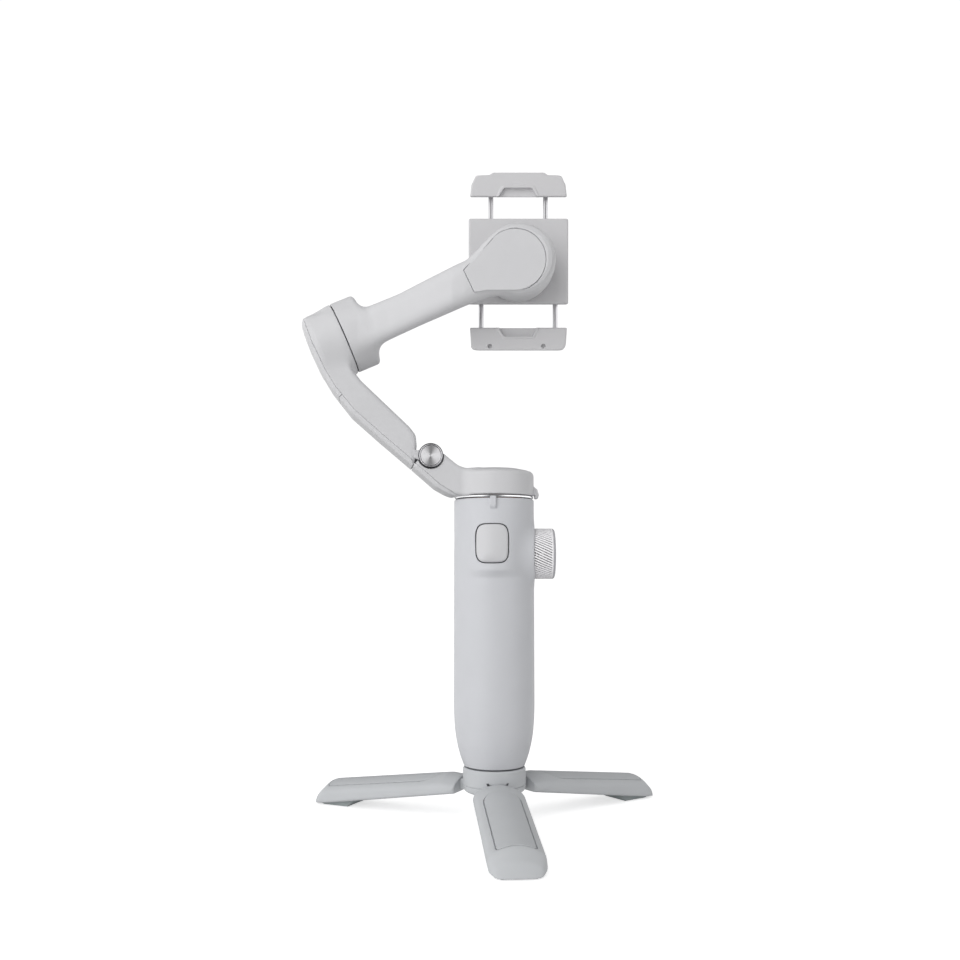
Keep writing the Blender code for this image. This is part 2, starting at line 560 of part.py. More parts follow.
def make_clamp(head, roll):
    (mid_x, mid_z), (half_x, half_z) = CLAMP_MID, PLATE_HALF
    rings = []
    for y, inset in ((PLATE_BACK, 1.4), (PLATE_BACK + 1.4, 0.0), (PLATE_FRONT, 0.0)):
        w, h = half_x - inset, half_z - inset
        corners = ((-w, -h + 1), (-w + 1, -h), (w - 1, -h), (w, -h + 1))
        corners += ((w, h - 1), (w - 1, h), (-w + 1, h), (-w, h - 1))
        rings.append([(mid_x + u, y, mid_z + v) for u, v in corners])
    plate = piece("clamp_plate", loft(rings), roll, "grey_plastic")
    cut(plate, box((mid_x - half_x + 2, -14.9, mid_z - half_z + 2),
                   (mid_x + half_x - 2, -5.0, mid_z + half_z - 2)))
    for sign, offset in ((1, UPPER_ROD_X), (-1, LOWER_ROD_X)):
        for x in (mid_x - offset, mid_x + offset):
            edge = mid_z + sign * half_z
            cut(plate, rod(ROD_R + 0.25, edge - 4, edge + 4, "Z", (x, ROD_Y)))
    cut(plate, rod(2.5, -20.0, -10.0, "Y"))
    pad = box((mid_x - half_x + 0.8, PLATE_FRONT + GAP, mid_z - half_z + 0.8),
              (mid_x + half_x - 0.8, PHONE_BACK, mid_z + half_z - 0.8))
    piece("phone_pad", pad, roll, "dark_rubber")
    core = [(2.7, -36.9), (13.6, -36.9), (13.6, -36.0), (6.0, -36.0), (6.0, -34.6)]
    core += [(STATOR_R - 0.8, -34.6), (STATOR_R - 0.8, -25.0), (2.7, -25.0)]
    piece("roll_stator", turn(core, "Y", segments=24), head, "copper")
    bell = [(0, -36.0), (2.3, -36.0), (2.3, -24.4), (12.4, -24.4), (12.4, -34.4)]
    bell += [(14.3, -34.4), (14.3, -19.2), (2.3, -19.2), (2.3, -15.6), (0, -15.6)]
    piece("roll_rotor", turn(bell, "Y", segments=28), roll, "dark_steel")


def make_jaw(name, frame_of, sign):
    """One jaw with its pad and rods; sign is +1 for the upper and -1 for the lower."""
    mid_x, mid_z = CLAMP_MID

    def up(height):
        return mid_z + sign * height

    inner, edge, contact, offset = 31.2, 42.2, LOWER_CONTACT, LOWER_ROD_X
    if sign > 0:
        inner, edge, contact, offset = 30.2, 40.5, UPPER_CONTACT, UPPER_ROD_X
    outline = [(-22.7, inner), (-22.7, edge - 4.6), (-21.6, edge - 1.6), (-19.0, edge)]
    if sign > 0:
        outline += [(-13.9, edge), (-12.3, edge + 1.4)]
    outline += [(-x, z) for x, z in reversed(outline)]
    outline = [(mid_x + x, up(z)) for x, z in outline]
    jaw = piece(f"{name}_jaw", prism(outline, PLATE_BACK, 8.0, "Y"), frame_of, "grey_plastic")
    low, high = sorted((up(20.0), up(contact + 1.1)))
    cut(jaw, box((mid_x - 30, PHONE_BACK - 0.4, low), (mid_x + 30, 4.6, high)))
    low, high = sorted((up(20.0), up(contact - 2.6)))
    cut(jaw, box((mid_x - 30, 4.0, low), (mid_x + 30, 12.0, high)))
    low, high = sorted((up(contact), up(contact + 0.8)))
    pad = box((mid_x - 20.5, PHONE_BACK + 0.1, low), (mid_x + 20.5, 4.2, high))
    piece(f"{name}_jaw_pad", pad, frame_of, "dark_rubber")
    for side, x in (("left", mid_x - offset), ("right", mid_x + offset)):
        low, high = sorted((up(inner - 1), up(37.4)))
        cut(jaw, rod(ROD_R + 0.25, low, high, "Z", (x, ROD_Y)))
        low, high = sorted((up(-11.4), up(37.0)))
        piece(f"{name}_rod_{side}", rod(ROD_R, low, high, "Z", (x, ROD_Y)), frame_of,
              "bright_steel")
    make_slider(name, frame_of, sign, offset)


def make_slider(name, frame_of, sign, offset):
    """The bar across a jaw's rods inside the plate, with the rack that the pinion turns."""
    mid_x, mid_z = CLAMP_MID
    layer = (-14.6, -13.5) if sign > 0 else (-10.5, -9.4)
    low, high = sorted((mid_z - sign * 11.6, mid_z - sign * 9.6))
    bar = box((mid_x - offset - 1.4, layer[0], low), (mid_x + offset + 1.4, layer[1], high))
    slider = piece(f"{name}_slider", bar, frame_of, "dark_plastic")
    pitch_line = PINION_TEETH * PINION_MODULE / 2
    teeth = [(mid_x + sign * x, mid_z + sign * z) for x, z in rack_outline(pitch_line)]
    deep = (-13.9, -11.0) if sign > 0 else (-13.0, -10.1)
    add(slider, prism(teeth, *deep, "Y"))
    for x in (mid_x - offset, mid_x + offset):
        add(slider, rod(2.5, low, high, "Z", (x, ROD_Y)))
        cut(slider, rod(ROD_R + 0.2, low - 1, high + 1, "Z", (x, ROD_Y)))


def rack_outline(pitch_line):
    """Straight-sided teeth that face the pinion, on a back bar; the pinion's middle is at 0."""
    pitch = math.pi * PINION_MODULE
    tip, root = pitch_line - 0.7 * PINION_MODULE, pitch_line + 1.0 * PINION_MODULE
    lean = math.tan(math.radians(20))
    half = pitch / 4 - 0.1
    outline = []
    for tooth in range(-5, 4):
        z = (tooth + 0.5) * pitch
        outline += [(root, z - half - lean * (root - pitch_line))]
        outline += [(tip, z - half + lean * (pitch_line - tip))]
        outline += [(tip, z + half - lean * (pitch_line - tip))]
        outline += [(root, z + half + lean * (root - pitch_line))]
    high, low = outline[-1][1] + 0.4, -11.2
    return outline + [(root, high), (root + 2.2, high), (root + 2.2, low), (root, low)]


def pinion_outline():
    """Involute teeth, thinned for backlash, with a tooth on the side that faces the upper rack."""
    pitch_r = PINION_TEETH * PINION_MODULE / 2
    base_r = pitch_r * math.cos(math.radians(20))
    root_r, tip_r = pitch_r - 0.95 * PINION_MODULE, pitch_r + 0.8 * PINION_MODULE

    def spread(radius):
        if radius <= base_r:
            return 0.0
        angle = math.acos(base_r / radius)
        return math.tan(angle) - angle

    half = math.pi / (2 * PINION_TEETH) + spread(pitch_r) - 0.11 / pitch_r
    points = []
    for tooth in range(PINION_TEETH):
        middle = 2 * math.pi * tooth / PINION_TEETH
        flank = [(r, half - spread(r)) for r in (root_r, base_r, pitch_r, tip_r)]
        for side in (-1, 1):
            for radius, off in flank[::-side]:
                a = middle + side * off
                points.append((radius * math.cos(a), radius * math.sin(a)))
    return points


def make_pinion(roll):
    axis = frame("pinion_axis", roll, (CLAMP_MID[0], 0, CLAMP_MID[1]))
    pinion = prism(pinion_outline(), -13.2, -10.8, "Y")
    piece("sync_pinion", pinion, axis, "brass")


# ---- assembly -----------------------------------------------------------------------------------

def main():
    clear_scene()
    root = frame("handle_axis", None, (AXIS_X, AXIS_Y, 0))
    make_handle(root)
    make_controls(root)
    make_hub(root)
    pan = frame("pan_axis", root, rotation=about("Z", ARM_YAW))
    make_yaw_motor(root, pan)
    make_arm_base(pan)
    fold = frame("fold_axis", pan, (FOLD_AT[0], 0, FOLD_AT[1]))
    seat = (TILT_AT[0] - FOLD_AT[0], 0, TILT_AT[1] - FOLD_AT[1])
    tilt_seat = frame("tilt_seat", fold, seat, about("Y", -TILT_RISE))
    make_upper_arm(fold, tilt_seat)
    tilt = frame("tilt_axis", tilt_seat)
    head = frame("head_axis", root, ROLL_AT, about("X", HEAD_LEAN))
    make_roll_arm(tilt, head)
    roll = frame("roll_axis", head)
    make_clamp(head, roll)
    make_pinion(roll)
    for name, sign in (("upper", 1), ("lower", -1)):
        make_jaw(name, frame(f"{name}_jaw_slide", roll), sign)
    bpy.context.view_layer.update()


main()
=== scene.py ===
"""Looks for a phone gimbal on a folding tripod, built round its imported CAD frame.

Shapes are distance fields in millimetres: functions that take points in the frame and give how
far outside the solid they are. mesh_of() turns a field into a mesh.
"""

import json
import math

import bpy
import numpy as np
from mathutils import Matrix, Vector


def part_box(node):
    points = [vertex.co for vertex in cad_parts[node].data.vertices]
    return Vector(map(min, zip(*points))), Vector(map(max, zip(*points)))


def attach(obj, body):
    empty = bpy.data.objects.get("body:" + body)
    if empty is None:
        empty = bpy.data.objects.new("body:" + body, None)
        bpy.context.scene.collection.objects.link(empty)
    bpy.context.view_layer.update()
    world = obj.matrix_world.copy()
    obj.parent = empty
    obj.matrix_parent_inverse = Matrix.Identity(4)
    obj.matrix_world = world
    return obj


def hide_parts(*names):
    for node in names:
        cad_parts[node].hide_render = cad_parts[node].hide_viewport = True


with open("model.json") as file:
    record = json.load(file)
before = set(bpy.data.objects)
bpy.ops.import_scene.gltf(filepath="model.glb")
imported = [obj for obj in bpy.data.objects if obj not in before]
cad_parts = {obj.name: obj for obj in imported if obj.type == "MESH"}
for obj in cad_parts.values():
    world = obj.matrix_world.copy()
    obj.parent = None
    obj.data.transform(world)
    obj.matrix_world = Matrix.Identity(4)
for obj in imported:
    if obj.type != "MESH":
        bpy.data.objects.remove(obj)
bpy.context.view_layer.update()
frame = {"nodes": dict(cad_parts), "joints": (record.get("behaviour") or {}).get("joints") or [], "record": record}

MM = 0.001
JOINTS = {joint["name"]: joint for joint in frame["joints"]}


# ---- spaces: the places and axes that the frame's joints give ----

class Space:
    """Takes points in the frame to distances along its own x, y and z, in mm."""

    def __init__(self, origin, x, y, z):
        self.origin = np.array(origin, float)
        self.axes = np.array([x, y, z], float)

    def local(self, points):
        return (points - self.origin) @ self.axes.T

    def world(self, point):
        return self.origin + np.array(point, float) @ self.axes

    def moved(self, by):
        return Space(self.world(by), *self.axes)

    def turned(self, axis, degrees):
        turn = np.array(Matrix.Rotation(math.radians(degrees), 3, axis))
        return Space(self.origin, *(turn.T @ self.axes))


def joint_axis(name):
    return np.array(JOINTS[name]["axis"], float)


def joint_place(name):
    return np.array(JOINTS[name]["pos_m"], float) / MM


UP = np.array([0.0, 0.0, 1.0])
HANDLE = Space([*joint_place("pan")[:2], 0.0], (1, 0, 0), (0, 1, 0), UP)
HINGE_AXIS = joint_axis("arm_fold")
ARM = Space(HANDLE.origin, np.cross(HINGE_AXIS, UP), HINGE_AXIS, UP)
FOLD = ARM.local(joint_place("arm_fold"))
HINGE = ARM.moved((FOLD[0], 0, FOLD[2]))
TILT_AXIS = joint_axis("tilt")
TILT = Space(joint_place("tilt"), TILT_AXIS, HINGE_AXIS, np.cross(TILT_AXIS, HINGE_AXIS))
ROLL_MOTOR_DEPTH = 18.0          # from the roll joint's stated place to the phone's middle plane
ROLL_AXIS, CLAMP_AXIS = joint_axis("roll"), joint_axis("clamp_open")
HEAD = Space(joint_place("roll") + ROLL_MOTOR_DEPTH * ROLL_AXIS,
             np.cross(ROLL_AXIS, CLAMP_AXIS), ROLL_AXIS, CLAMP_AXIS)
LEG_SLOPE = 6.7


def leg_space(number):
    axis = joint_axis(f"leg_fold_{number}")
    level = Space(joint_place(f"leg_fold_{number}"), np.cross(axis, UP), axis, UP)
    return level.turned("Y", LEG_SLOPE)


# ---- outlines ----

def arc(centre, radius, start, end, segments=8):
    steps = [math.radians(start + (end - start) * i / segments) for i in range(segments + 1)]
    return [(centre[0] + radius * math.cos(a), centre[1] + radius * math.sin(a)) for a in steps]


def soft(points, radius=1.0, segments=4):
    """An outline with its corners rounded; a point's third number is a radius of its own."""
    rounded = []
    count = len(points)
    for i, point in enumerate(points):
        here = Vector(point[:2])
        before = Vector(points[i - 1][:2]) - here
        after = Vector(points[(i + 1) % count][:2]) - here
        wanted = point[2] if len(point) > 2 else radius
        angle = before.angle(after)
        if wanted < 1e-6 or abs(math.pi - angle) < 0.02:
            rounded.append(tuple(here))
            continue
        reach = min(wanted / math.tan(angle / 2), 0.49 * before.length, 0.49 * after.length)
        start, end = here + before.normalized() * reach, here + after.normalized() * reach
        for step in range(segments + 1):
            t = step / segments
            rounded.append(tuple((1 - t) ** 2 * start + 2 * t * (1 - t) * here + t * t * end))
    return rounded


def squircle(half_w, half_h, centre=(0, 0), power=4.0, segments=36):
    points = []
    for i in range(segments):
        a = 2 * math.pi * i / segments
        c, s = math.cos(a), math.sin(a)
        points.append((centre[0] + math.copysign(abs(c) ** (2 / power), c) * half_w,
                       centre[1] + math.copysign(abs(s) ** (2 / power), s) * half_h))
    return points


# ---- distance fields ----

AXES = {"X": (0, 1, 2), "Y": (1, 0, 2), "Z": (2, 0, 1)}
REACH = 8.0                      # beyond this, a shape's bounding box is near enough to the shape
PAST_AXIS = -5.0                 # a turned outline that touches the axis runs past it


def exact_near(shape, places, low, high):
    """The shape's own distance near its bounding box, and the box's distance beyond REACH."""
    value = np.zeros(len(places[0]))
    for place, least, most in zip(places, low, high):
        value += np.maximum(np.maximum(least - place, place - most), 0) ** 2
    value = np.sqrt(value)
    near = value < REACH
    value[near] = shape(*(place[near] for place in places))
    return value


def polygon_distance(u, v, outline):
    """How far outside a closed outline each point is; negative inside."""
    closest = np.full(u.shape, np.inf)
    inside = np.zeros(u.shape, bool)
    previous = outline[-1]
    for point in outline:
        (au, av), (bu, bv) = previous, point
        previous = point
        du, dv = bu - au, bv - av
        length = du * du + dv * dv
        if length < 1e-12:
            continue
        pu, pv = u - au, v - av
        t = np.clip((pu * du + pv * dv) / length, 0, 1)
        closest = np.minimum(closest, (pu - t * du) ** 2 + (pv - t * dv) ** 2)
        if av != bv:
            crossing = (av > v) != (bv > v)
            inside ^= crossing & (u < au + du * (v - av) / dv)
    distance = np.sqrt(closest)
    return np.where(inside, -distance, distance)


def capped(flat, along, low, high, edge):
    """A 2-D distance given thickness, with its rims rounded by edge."""
    a = flat + edge
    b = np.abs(along - (low + high) / 2) - (high - low) / 2 + edge
    outside = np.hypot(np.maximum(a, 0), np.maximum(b, 0))
    return outside + np.minimum(np.maximum(a, b), 0) - edge


def along_and_across(space, axis, points):
    p = space.local(points)
    return [p[:, i] for i in AXES[axis]]


def prism(space, outline, low, high, axis="Y", edge=0.5):
    """An outline given thickness along an axis, with its rims rounded by edge."""
    least, most = (*np.min(outline, axis=0), low), (*np.max(outline, axis=0), high)

    def shape(u, v, along):
        return capped(polygon_distance(u, v, outline), along, low, high, edge)

    def field(points):
        along, u, v = along_and_across(space, axis, points)
        return exact_near(shape, (u, v, along), least, most)
    return field


def lathe(space, profile, axis="Z", edge=0.0, centre=(0, 0)):
    """A closed outline of (radius, height), turned about an axis."""
    outline = [(radius or PAST_AXIS, height) for radius, height in profile]
    least, most = np.min(outline, axis=0), np.max(outline, axis=0)

    def shape(radius, along):
        return polygon_distance(radius, along, outline) - edge

    def field(points):
        along, u, v = along_and_across(space, axis, points)
        radius = np.hypot(u - centre[0], v - centre[1])
        return exact_near(shape, (radius, along), least, most)
    return field


def rod(space, radius, low, high, axis="Z", centre=(0, 0), edge=0.3):
    def field(points):
        along, u, v = along_and_across(space, axis, points)
        flat = np.hypot(u - centre[0], v - centre[1]) - radius
        return capped(flat, along, low, high, edge)
    return field


def brick(space, low, high, edge=0.5):
    middle = (np.array(low, float) + high) / 2
    half = (np.array(high, float) - low) / 2 - edge

    def field(points):
        q = np.abs(space.local(points) - middle) - half
        outside = np.linalg.norm(np.maximum(q, 0), axis=1)
        return outside + np.minimum(q.max(axis=1), 0) - edge
    return field


def beyond(space, point, outward):
    """How far past a plane each point is."""
    outward = np.array(outward, float) / np.linalg.norm(outward)

    def field(points):
        return (space.local(points) - point) @ outward
    return field


def smooth_min(a, b, k):
    h = np.maximum(k - np.abs(a - b), 0) / k
    return np.minimum(a, b) - h * h * k / 4


def join(*fields, k=0.01):
    """One solid from several, with fillets of about k where they meet."""
    def field(points):
        value = fields[0](points)
        for other in fields[1:]:
            value = smooth_min(value, other(points), k)
        return value
    return field


def opposite(field):
    """All that isn't in a solid."""
    return lambda points: -field(points)


def common(*fields, k=0.01):
    """What all of the solids hold, with its edges rounded by about k."""
    return opposite(join(*map(opposite, fields), k=k))


def less(body, *cutters, k=0.25):
    """A solid with others cut from it, with the cuts' rims rounded by about k."""
    return opposite(join(opposite(body), *cutters, k=k))


# ---- meshes ----

CORNERS = np.array([(x, y, z) for x in (0, 1) for y in (0, 1) for z in (0, 1)])
EDGES = [(a, b) for a in range(8) for b in range(a + 1, 8)
         if abs(CORNERS[a] - CORNERS[b]).sum() == 1]
COARSE_LEVELS = 4
GRADIENT_STEP = 0.03
MARGIN = 2.0                     # how far past its CAD box a piece is looked for


def cells_near(field, low, high, cell):
    """Grid cells of that size that the surface may pass through, found from coarse to fine."""
    size = cell * 2 ** COARSE_LEVELS
    counts = np.ceil((np.array(high) - low) / size).astype(int)
    cells = np.indices(counts).reshape(3, -1).T
    while True:
        near = np.abs(field(low + (cells + 0.5) * size)) < size
        cells = cells[near]
        if size < cell * 1.5:
            return cells
        cells = (cells[:, None, :] * 2 + CORNERS).reshape(-1, 3)
        size /= 2


def slope(field, points):
    value = field(points)
    steps = [field(points + GRADIENT_STEP * axis) - value for axis in np.eye(3)]
    return value, np.stack(steps, axis=1) / GRADIENT_STEP


def surface(field, low, high, cell):
    """Vertices, quads and normals where a field is zero, by surface nets."""
    low = np.array(low, float)
    cells = cells_near(field, low, high, cell)
    span = cells.max(axis=0) + 3

    def code(index):
        return ((index[..., 0] + 1) * span[1] + index[..., 1] + 1) * span[2] + index[..., 2] + 1

    corner_codes = code(cells[:, None, :] + CORNERS)
    _, first, where = np.unique(corner_codes, return_index=True, return_inverse=True)
    grid = (cells[:, None, :] + CORNERS).reshape(-1, 3)[first]
    values = field(low + grid * cell)[where.reshape(-1)].reshape(-1, 8)
    mixed = (values < 0).any(axis=1) & (values >= 0).any(axis=1)
    cells, values = cells[mixed], values[mixed]
    total = np.zeros((len(cells), 3))
    crossings = np.zeros((len(cells), 1))
    for a, b in EDGES:
        va, vb = values[:, a], values[:, b]
        crossed = ((va < 0) != (vb < 0))[:, None]
        t = (va / np.where(va == vb, 1, va - vb))[:, None]
        total += crossed * (CORNERS[a] + t * (CORNERS[b] - CORNERS[a]))
        crossings += crossed
    points = low + (cells + total / crossings) * cell
    codes = code(cells)
    order = np.argsort(codes)
    quads = []
    for axis in range(3):
        u, v = np.eye(3, dtype=int)[[(axis + 1) % 3, (axis + 2) % 3]]
        end = 4 >> axis
        crossed = (values[:, 0] < 0) != (values[:, end] < 0)
        base = cells[crossed]
        ring = []
        for offset in (0 * u, -u, -u - v, -v):
            found = np.searchsorted(codes[order], code(base + offset))
            ring.append(order[np.minimum(found, len(order) - 1)])
        ring = np.stack(ring, axis=1)
        flipped = values[crossed, 0] >= 0
        ring[flipped] = ring[flipped][:, ::-1]
        quads.append(ring)
    quads = np.concatenate(quads)
    for _ in range(2):
        value, gradient = slope(field, points)
        steep = np.maximum((gradient ** 2).sum(axis=1), 0.25)
        shift = np.clip(value / steep, -0.4 * cell, 0.4 * cell)
        points = points - shift[:, None] * gradient
    normals = slope(field, points)[1]
    return points, quads, normals / np.linalg.norm(normals, axis=1, keepdims=True)


def mesh_of(name, field, low, high, cell):
    points, quads, normals = surface(field, low, high, cell)
    mesh = bpy.data.meshes.new(name)
    mesh.vertices.add(len(points))
    mesh.vertices.foreach_set("co", (points * MM).astype(np.float32).reshape(-1))
    mesh.loops.add(quads.size)
    mesh.loops.foreach_set("vertex_index", quads.astype(np.int32).reshape(-1))
    mesh.polygons.add(len(quads))
    mesh.polygons.foreach_set("loop_start", np.arange(0, quads.size, 4, dtype=np.int32))
    mesh.update(calc_edges=True)
    mesh.validate()
    mesh.shade_smooth()
    mesh.normals_split_custom_set_from_vertices(normals.astype(np.float32))
    return mesh


def body_holding(node):
    bodies = frame["record"]["behaviour"]["bodies"]
    return next(name for name, nodes in bodies.items() if node in nodes)


def new_object(name, data):
    obj = bpy.data.objects.new(name, data)
    bpy.context.scene.collection.objects.link(obj)
    return obj


def solid(node, field, finish, cell=0.4):
    """A piece that stands for a CAD node and rides on its body."""
    low, high = (np.array(corner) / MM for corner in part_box(node))
    name = f"{node}_shell"
    mesh = mesh_of(name, field, low - MARGIN, high + MARGIN, cell)
    obj = new_object(name, mesh)
    mesh.materials.append(FINISH[finish])
    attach(obj, body_holding(node))
    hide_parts(node)
    return obj


def paint_shade(obj, amount):
    """Marks how much painted shade each vertex carries, from 0 to 1."""
    places = np.empty(len(obj.data.vertices) * 3, np.float32)
    obj.data.vertices.foreach_get("co", places)
    shade = obj.data.attributes.new("shade", "FLOAT", "POINT")
    shade.data.foreach_set("value", amount(places.reshape(-1, 3) / MM).astype(np.float32))


# ---- materials ----

def new_material(name, colour, roughness, metallic=0.0):
    mat = bpy.data.materials.new(name)
    mat.use_nodes = True
    shader = mat.node_tree.nodes["Principled BSDF"]
    shader.inputs["Base Color"].default_value = (*colour, 1.0)
    shader.inputs["Roughness"].default_value = roughness
    shader.inputs["Metallic"].default_value = metallic
    return mat, mat.node_tree, shader


def noise(tree, scale, detail=3.0):
    """Noise that stays with the object."""
    place = tree.nodes.new("ShaderNodeTexCoord")
    texture = tree.nodes.new("ShaderNodeTexNoise")
    texture.inputs["Scale"].default_value = scale
    texture.inputs["Detail"].default_value = detail
    tree.links.new(place.outputs["Object"], texture.inputs["Vector"])
    return texture.outputs["Fac"]


def ranged(tree, value, start, end, low, high):
    """Takes a value between start and end to one between low and high."""
    node = tree.nodes.new("ShaderNodeMapRange")
    limits = {"From Min": start, "From Max": end, "To Min": low, "To Max": high}
    for name, number in limits.items():
        node.inputs[name].default_value = number
    tree.links.new(value, node.inputs["Value"])
    return node.outputs["Result"]


def spread(tree, value, low, high):
    """Takes noise, which stays near its middle, to between low and high."""
    return ranged(tree, value, 0.3, 0.7, low, high)


def blend(tree, factor, first, second, kind="FLOAT"):
    """Runs from the first to the second; each is a value or another node's output."""
    node = tree.nodes.new("ShaderNodeMix")
    node.data_type = kind
    for name, value in (("A", first), ("B", second)):
        if isinstance(value, bpy.types.NodeSocket):
            tree.links.new(value, node.inputs[name])
        else:
            node.inputs[name].default_value = value
    tree.links.new(factor, node.inputs["Factor"])
    return node.outputs["Result"]


def mottle(tree, shader, colour, value, amount):
    """The base colour drifts darker and lighter by that share."""
    dark = (*(c * (1 - amount) for c in colour), 1.0)
    light = (*(min(1, c * (1 + amount)) for c in colour), 1.0)
    drift = blend(tree, spread(tree, value, 0, 1), dark, light, "RGBA")
    tree.links.new(drift, shader.inputs["Base Color"])


def bump(tree, shader, value, depth_mm):
    node = tree.nodes.new("ShaderNodeBump")
    node.inputs["Distance"].default_value = depth_mm * MM
    tree.links.new(value, node.inputs["Height"])
    tree.links.new(node.outputs["Normal"], shader.inputs["Normal"])


def drifting(parts, colour, drift, scale, gloss, gloss_scale, grain_mm, depth_mm):
    """Slight drifts in colour and gloss, over a fine grain."""
    mat, tree, shader = parts
    mottle(tree, shader, colour, noise(tree, scale), drift)
    patchy = spread(tree, noise(tree, gloss_scale), *gloss)
    tree.links.new(patchy, shader.inputs["Roughness"])
    bump(tree, shader, noise(tree, 1.0 / (grain_mm * MM), 2.0), depth_mm)
    return mat


def plastic(name, colour, roughness=0.45, grain_mm=0.35, depth_mm=0.02, drift=0.015):
    """Moulded plastic, with a spark-eroded grain."""
    gloss = roughness - 0.04, roughness + 0.04
    parts = new_material(name, colour, roughness)
    return drifting(parts, colour, drift, 60.0, gloss, 140.0, grain_mm, depth_mm)


def metal(name, colour, roughness, drift=0.04, grain_mm=0.2, depth_mm=0.004):
    gloss = roughness * 0.8, roughness * 1.2
    parts = new_material(name, colour, roughness, 1.0)
    return drifting(parts, colour, drift, 90.0, gloss, 300.0, grain_mm, depth_mm)


def shaded(mat, dark):
    """Painted shade: darker where the mesh's own attribute says so, as in grooves and on rims."""
    tree = mat.node_tree
    shader = tree.nodes["Principled BSDF"]
    shade = tree.nodes.new("ShaderNodeAttribute")
    shade.attribute_name = "shade"
    plain = shader.inputs["Base Color"].links[0].from_socket
    # dark is the colour of the painted shade
    colour = blend(tree, shade.outputs["Fac"], plain, (*dark, 1.0), "RGBA")
    tree.links.new(colour, shader.inputs["Base Color"])
    return mat


def knurled_metal(name, colour, dark, roughness):
    # dark is the colour of the painted shade in the knurl's grooves and on the outer face
    mat = shaded(metal(name, colour, roughness, 0.01, 0.3, 0.001), dark)
    mat.node_tree.nodes["Principled BSDF"].inputs["Metallic"].default_value = 0.0
    return mat


def turned_metal(name, colour, dark, roughness):
    """Metal faced on a lathe: its grain runs round the piece's middle."""
    # dark is the colour of the painted shade round the rim and in the groove
    mat = shaded(metal(name, colour, roughness, 0.01, 0.3, 0.0005), dark)
    tree = mat.node_tree
    shader = tree.nodes["Principled BSDF"]
    shader.inputs["Anisotropic"].default_value = 0.96
    shader.inputs["Anisotropic Rotation"].default_value = 0.25
    tangent = tree.nodes.new("ShaderNodeTangent")
    tangent.direction_type = "RADIAL"
    tangent.axis = "Y"
    tree.links.new(tangent.outputs["Tangent"], shader.inputs["Tangent"])
    return mat


FINISH = {
    "shell": plastic("shell_plastic", (0.598, 0.606, 0.632), 0.48),
    "arm": plastic("arm_plastic", (0.622, 0.622, 0.636), 0.48),
    "clamp": plastic("clamp_plastic", (0.600, 0.596, 0.608), 0.50),
    "tripod": plastic("tripod_plastic", (0.542, 0.556, 0.572), 0.52, 0.4, 0.03),
    "inset": plastic("inset_rubber", (0.530, 0.544, 0.560), 0.62, 0.3, 0.03),
    "sole": plastic("sole_rubber", (0.350, 0.385, 0.390), 0.75, 0.5, 0.06, 0.03),
    "pad": plastic("pad_rubber", (0.030, 0.030, 0.033), 0.80, 0.5, 0.08, 0.05),
    "dark": plastic("dark_plastic", (0.045, 0.045, 0.050), 0.45),
    "button": plastic("button_plastic", (0.625, 0.625, 0.640), 0.42),
    "red": plastic("red_plastic", (0.500, 0.030, 0.025), 0.40),
    "lens": plastic("lens_plastic", (0.850, 0.900, 0.880), 0.20, 1.0, 0.005),
    "board": plastic("board_lacquer", (0.015, 0.120, 0.060), 0.40, 2.0, 0.05, 0.10),
    "wrap": plastic("cell_wrap", (0.080, 0.170, 0.400), 0.30, 2.0, 0.02, 0.04),
    # the dial's second colour is painted shade for its grooves and outer face
    "dial": knurled_metal("dial_aluminium", (0.990, 0.980, 1.000), (0.240, 0.235, 0.265), 0.45),
    "bright": metal("bright_steel", (0.860, 0.860, 0.870), 0.10, 0.01, 0.5, 0.001),
    "rod": metal("rod_steel", (0.580, 0.575, 0.590), 0.34, 0.02, 0.4, 0.002),
    # the turned steel's second colour is painted shade for the hinge disc's rim and groove
    "turned": turned_metal("turned_steel", (0.970, 0.965, 0.985), (0.100, 0.100, 0.110), 0.42),
    "motor": metal("motor_steel", (0.250, 0.250, 0.260), 0.40),
    "copper": metal("winding_copper", (0.700, 0.330, 0.180), 0.38, 0.12, 0.4, 0.05),
    "brass": metal("brass", (0.650, 0.480, 0.200), 0.32),
}


# ---- handle ----

HANDLE_R = 19.0
HANDLE_LOW = 24.9
HANDLE_TOP = 149.3
TAPER_FROM = 58.0                # the handle narrows below this, by a cube of the distance
TAPER = 4.8
DIAL_AXLE = HANDLE.moved((0, 0, HANDLE.local(joint_place("dial_turn"))[2]))
TRIGGER_AT = (-1.1, 128.2)
TRIGGER_HALF = (7.4, 8.9)
STICK_Y, STICK_Z = map(float, HANDLE.local(joint_place("stick_nod"))[1:])
RECORD_Z = 110.0
MODE_PAD = (4.0, 2.4, 98.0)      # half width, half height and middle
LIGHT_BAR = (3.0, 0.8, 90.0)
POWER_PAD = (2.6, 4.6, 128.0)
PORT_RIM = (1.6, 4.4, 130.0)
PORT = HANDLE.turned("Z", 183.0)   # its x axis runs out through the port
POWER = HANDLE.turned("Z", 150.0)  # and this one's through the power button
GAP = 0.3                        # round a button in its hole
REAR = 90.0
PANEL_HALF_ANGLE = 38.0


def handle_profile():
    """Radius against height, from the middle of the base out, up and back in."""
    points = [(0, HANDLE_LOW), (HANDLE_R - TAPER - 0.5, HANDLE_LOW)]
    for step in range(13):
        z = HANDLE_LOW + 0.3 + (TAPER_FROM - HANDLE_LOW - 0.3) * step / 12
        drop = (TAPER_FROM - z) / (TAPER_FROM - HANDLE_LOW)
        points.append((HANDLE_R - TAPER * drop ** 3, z))
    return points + [(HANDLE_R, HANDLE_TOP - 0.5), (HANDLE_R - 0.5, HANDLE_TOP), (0, HANDLE_TOP)]


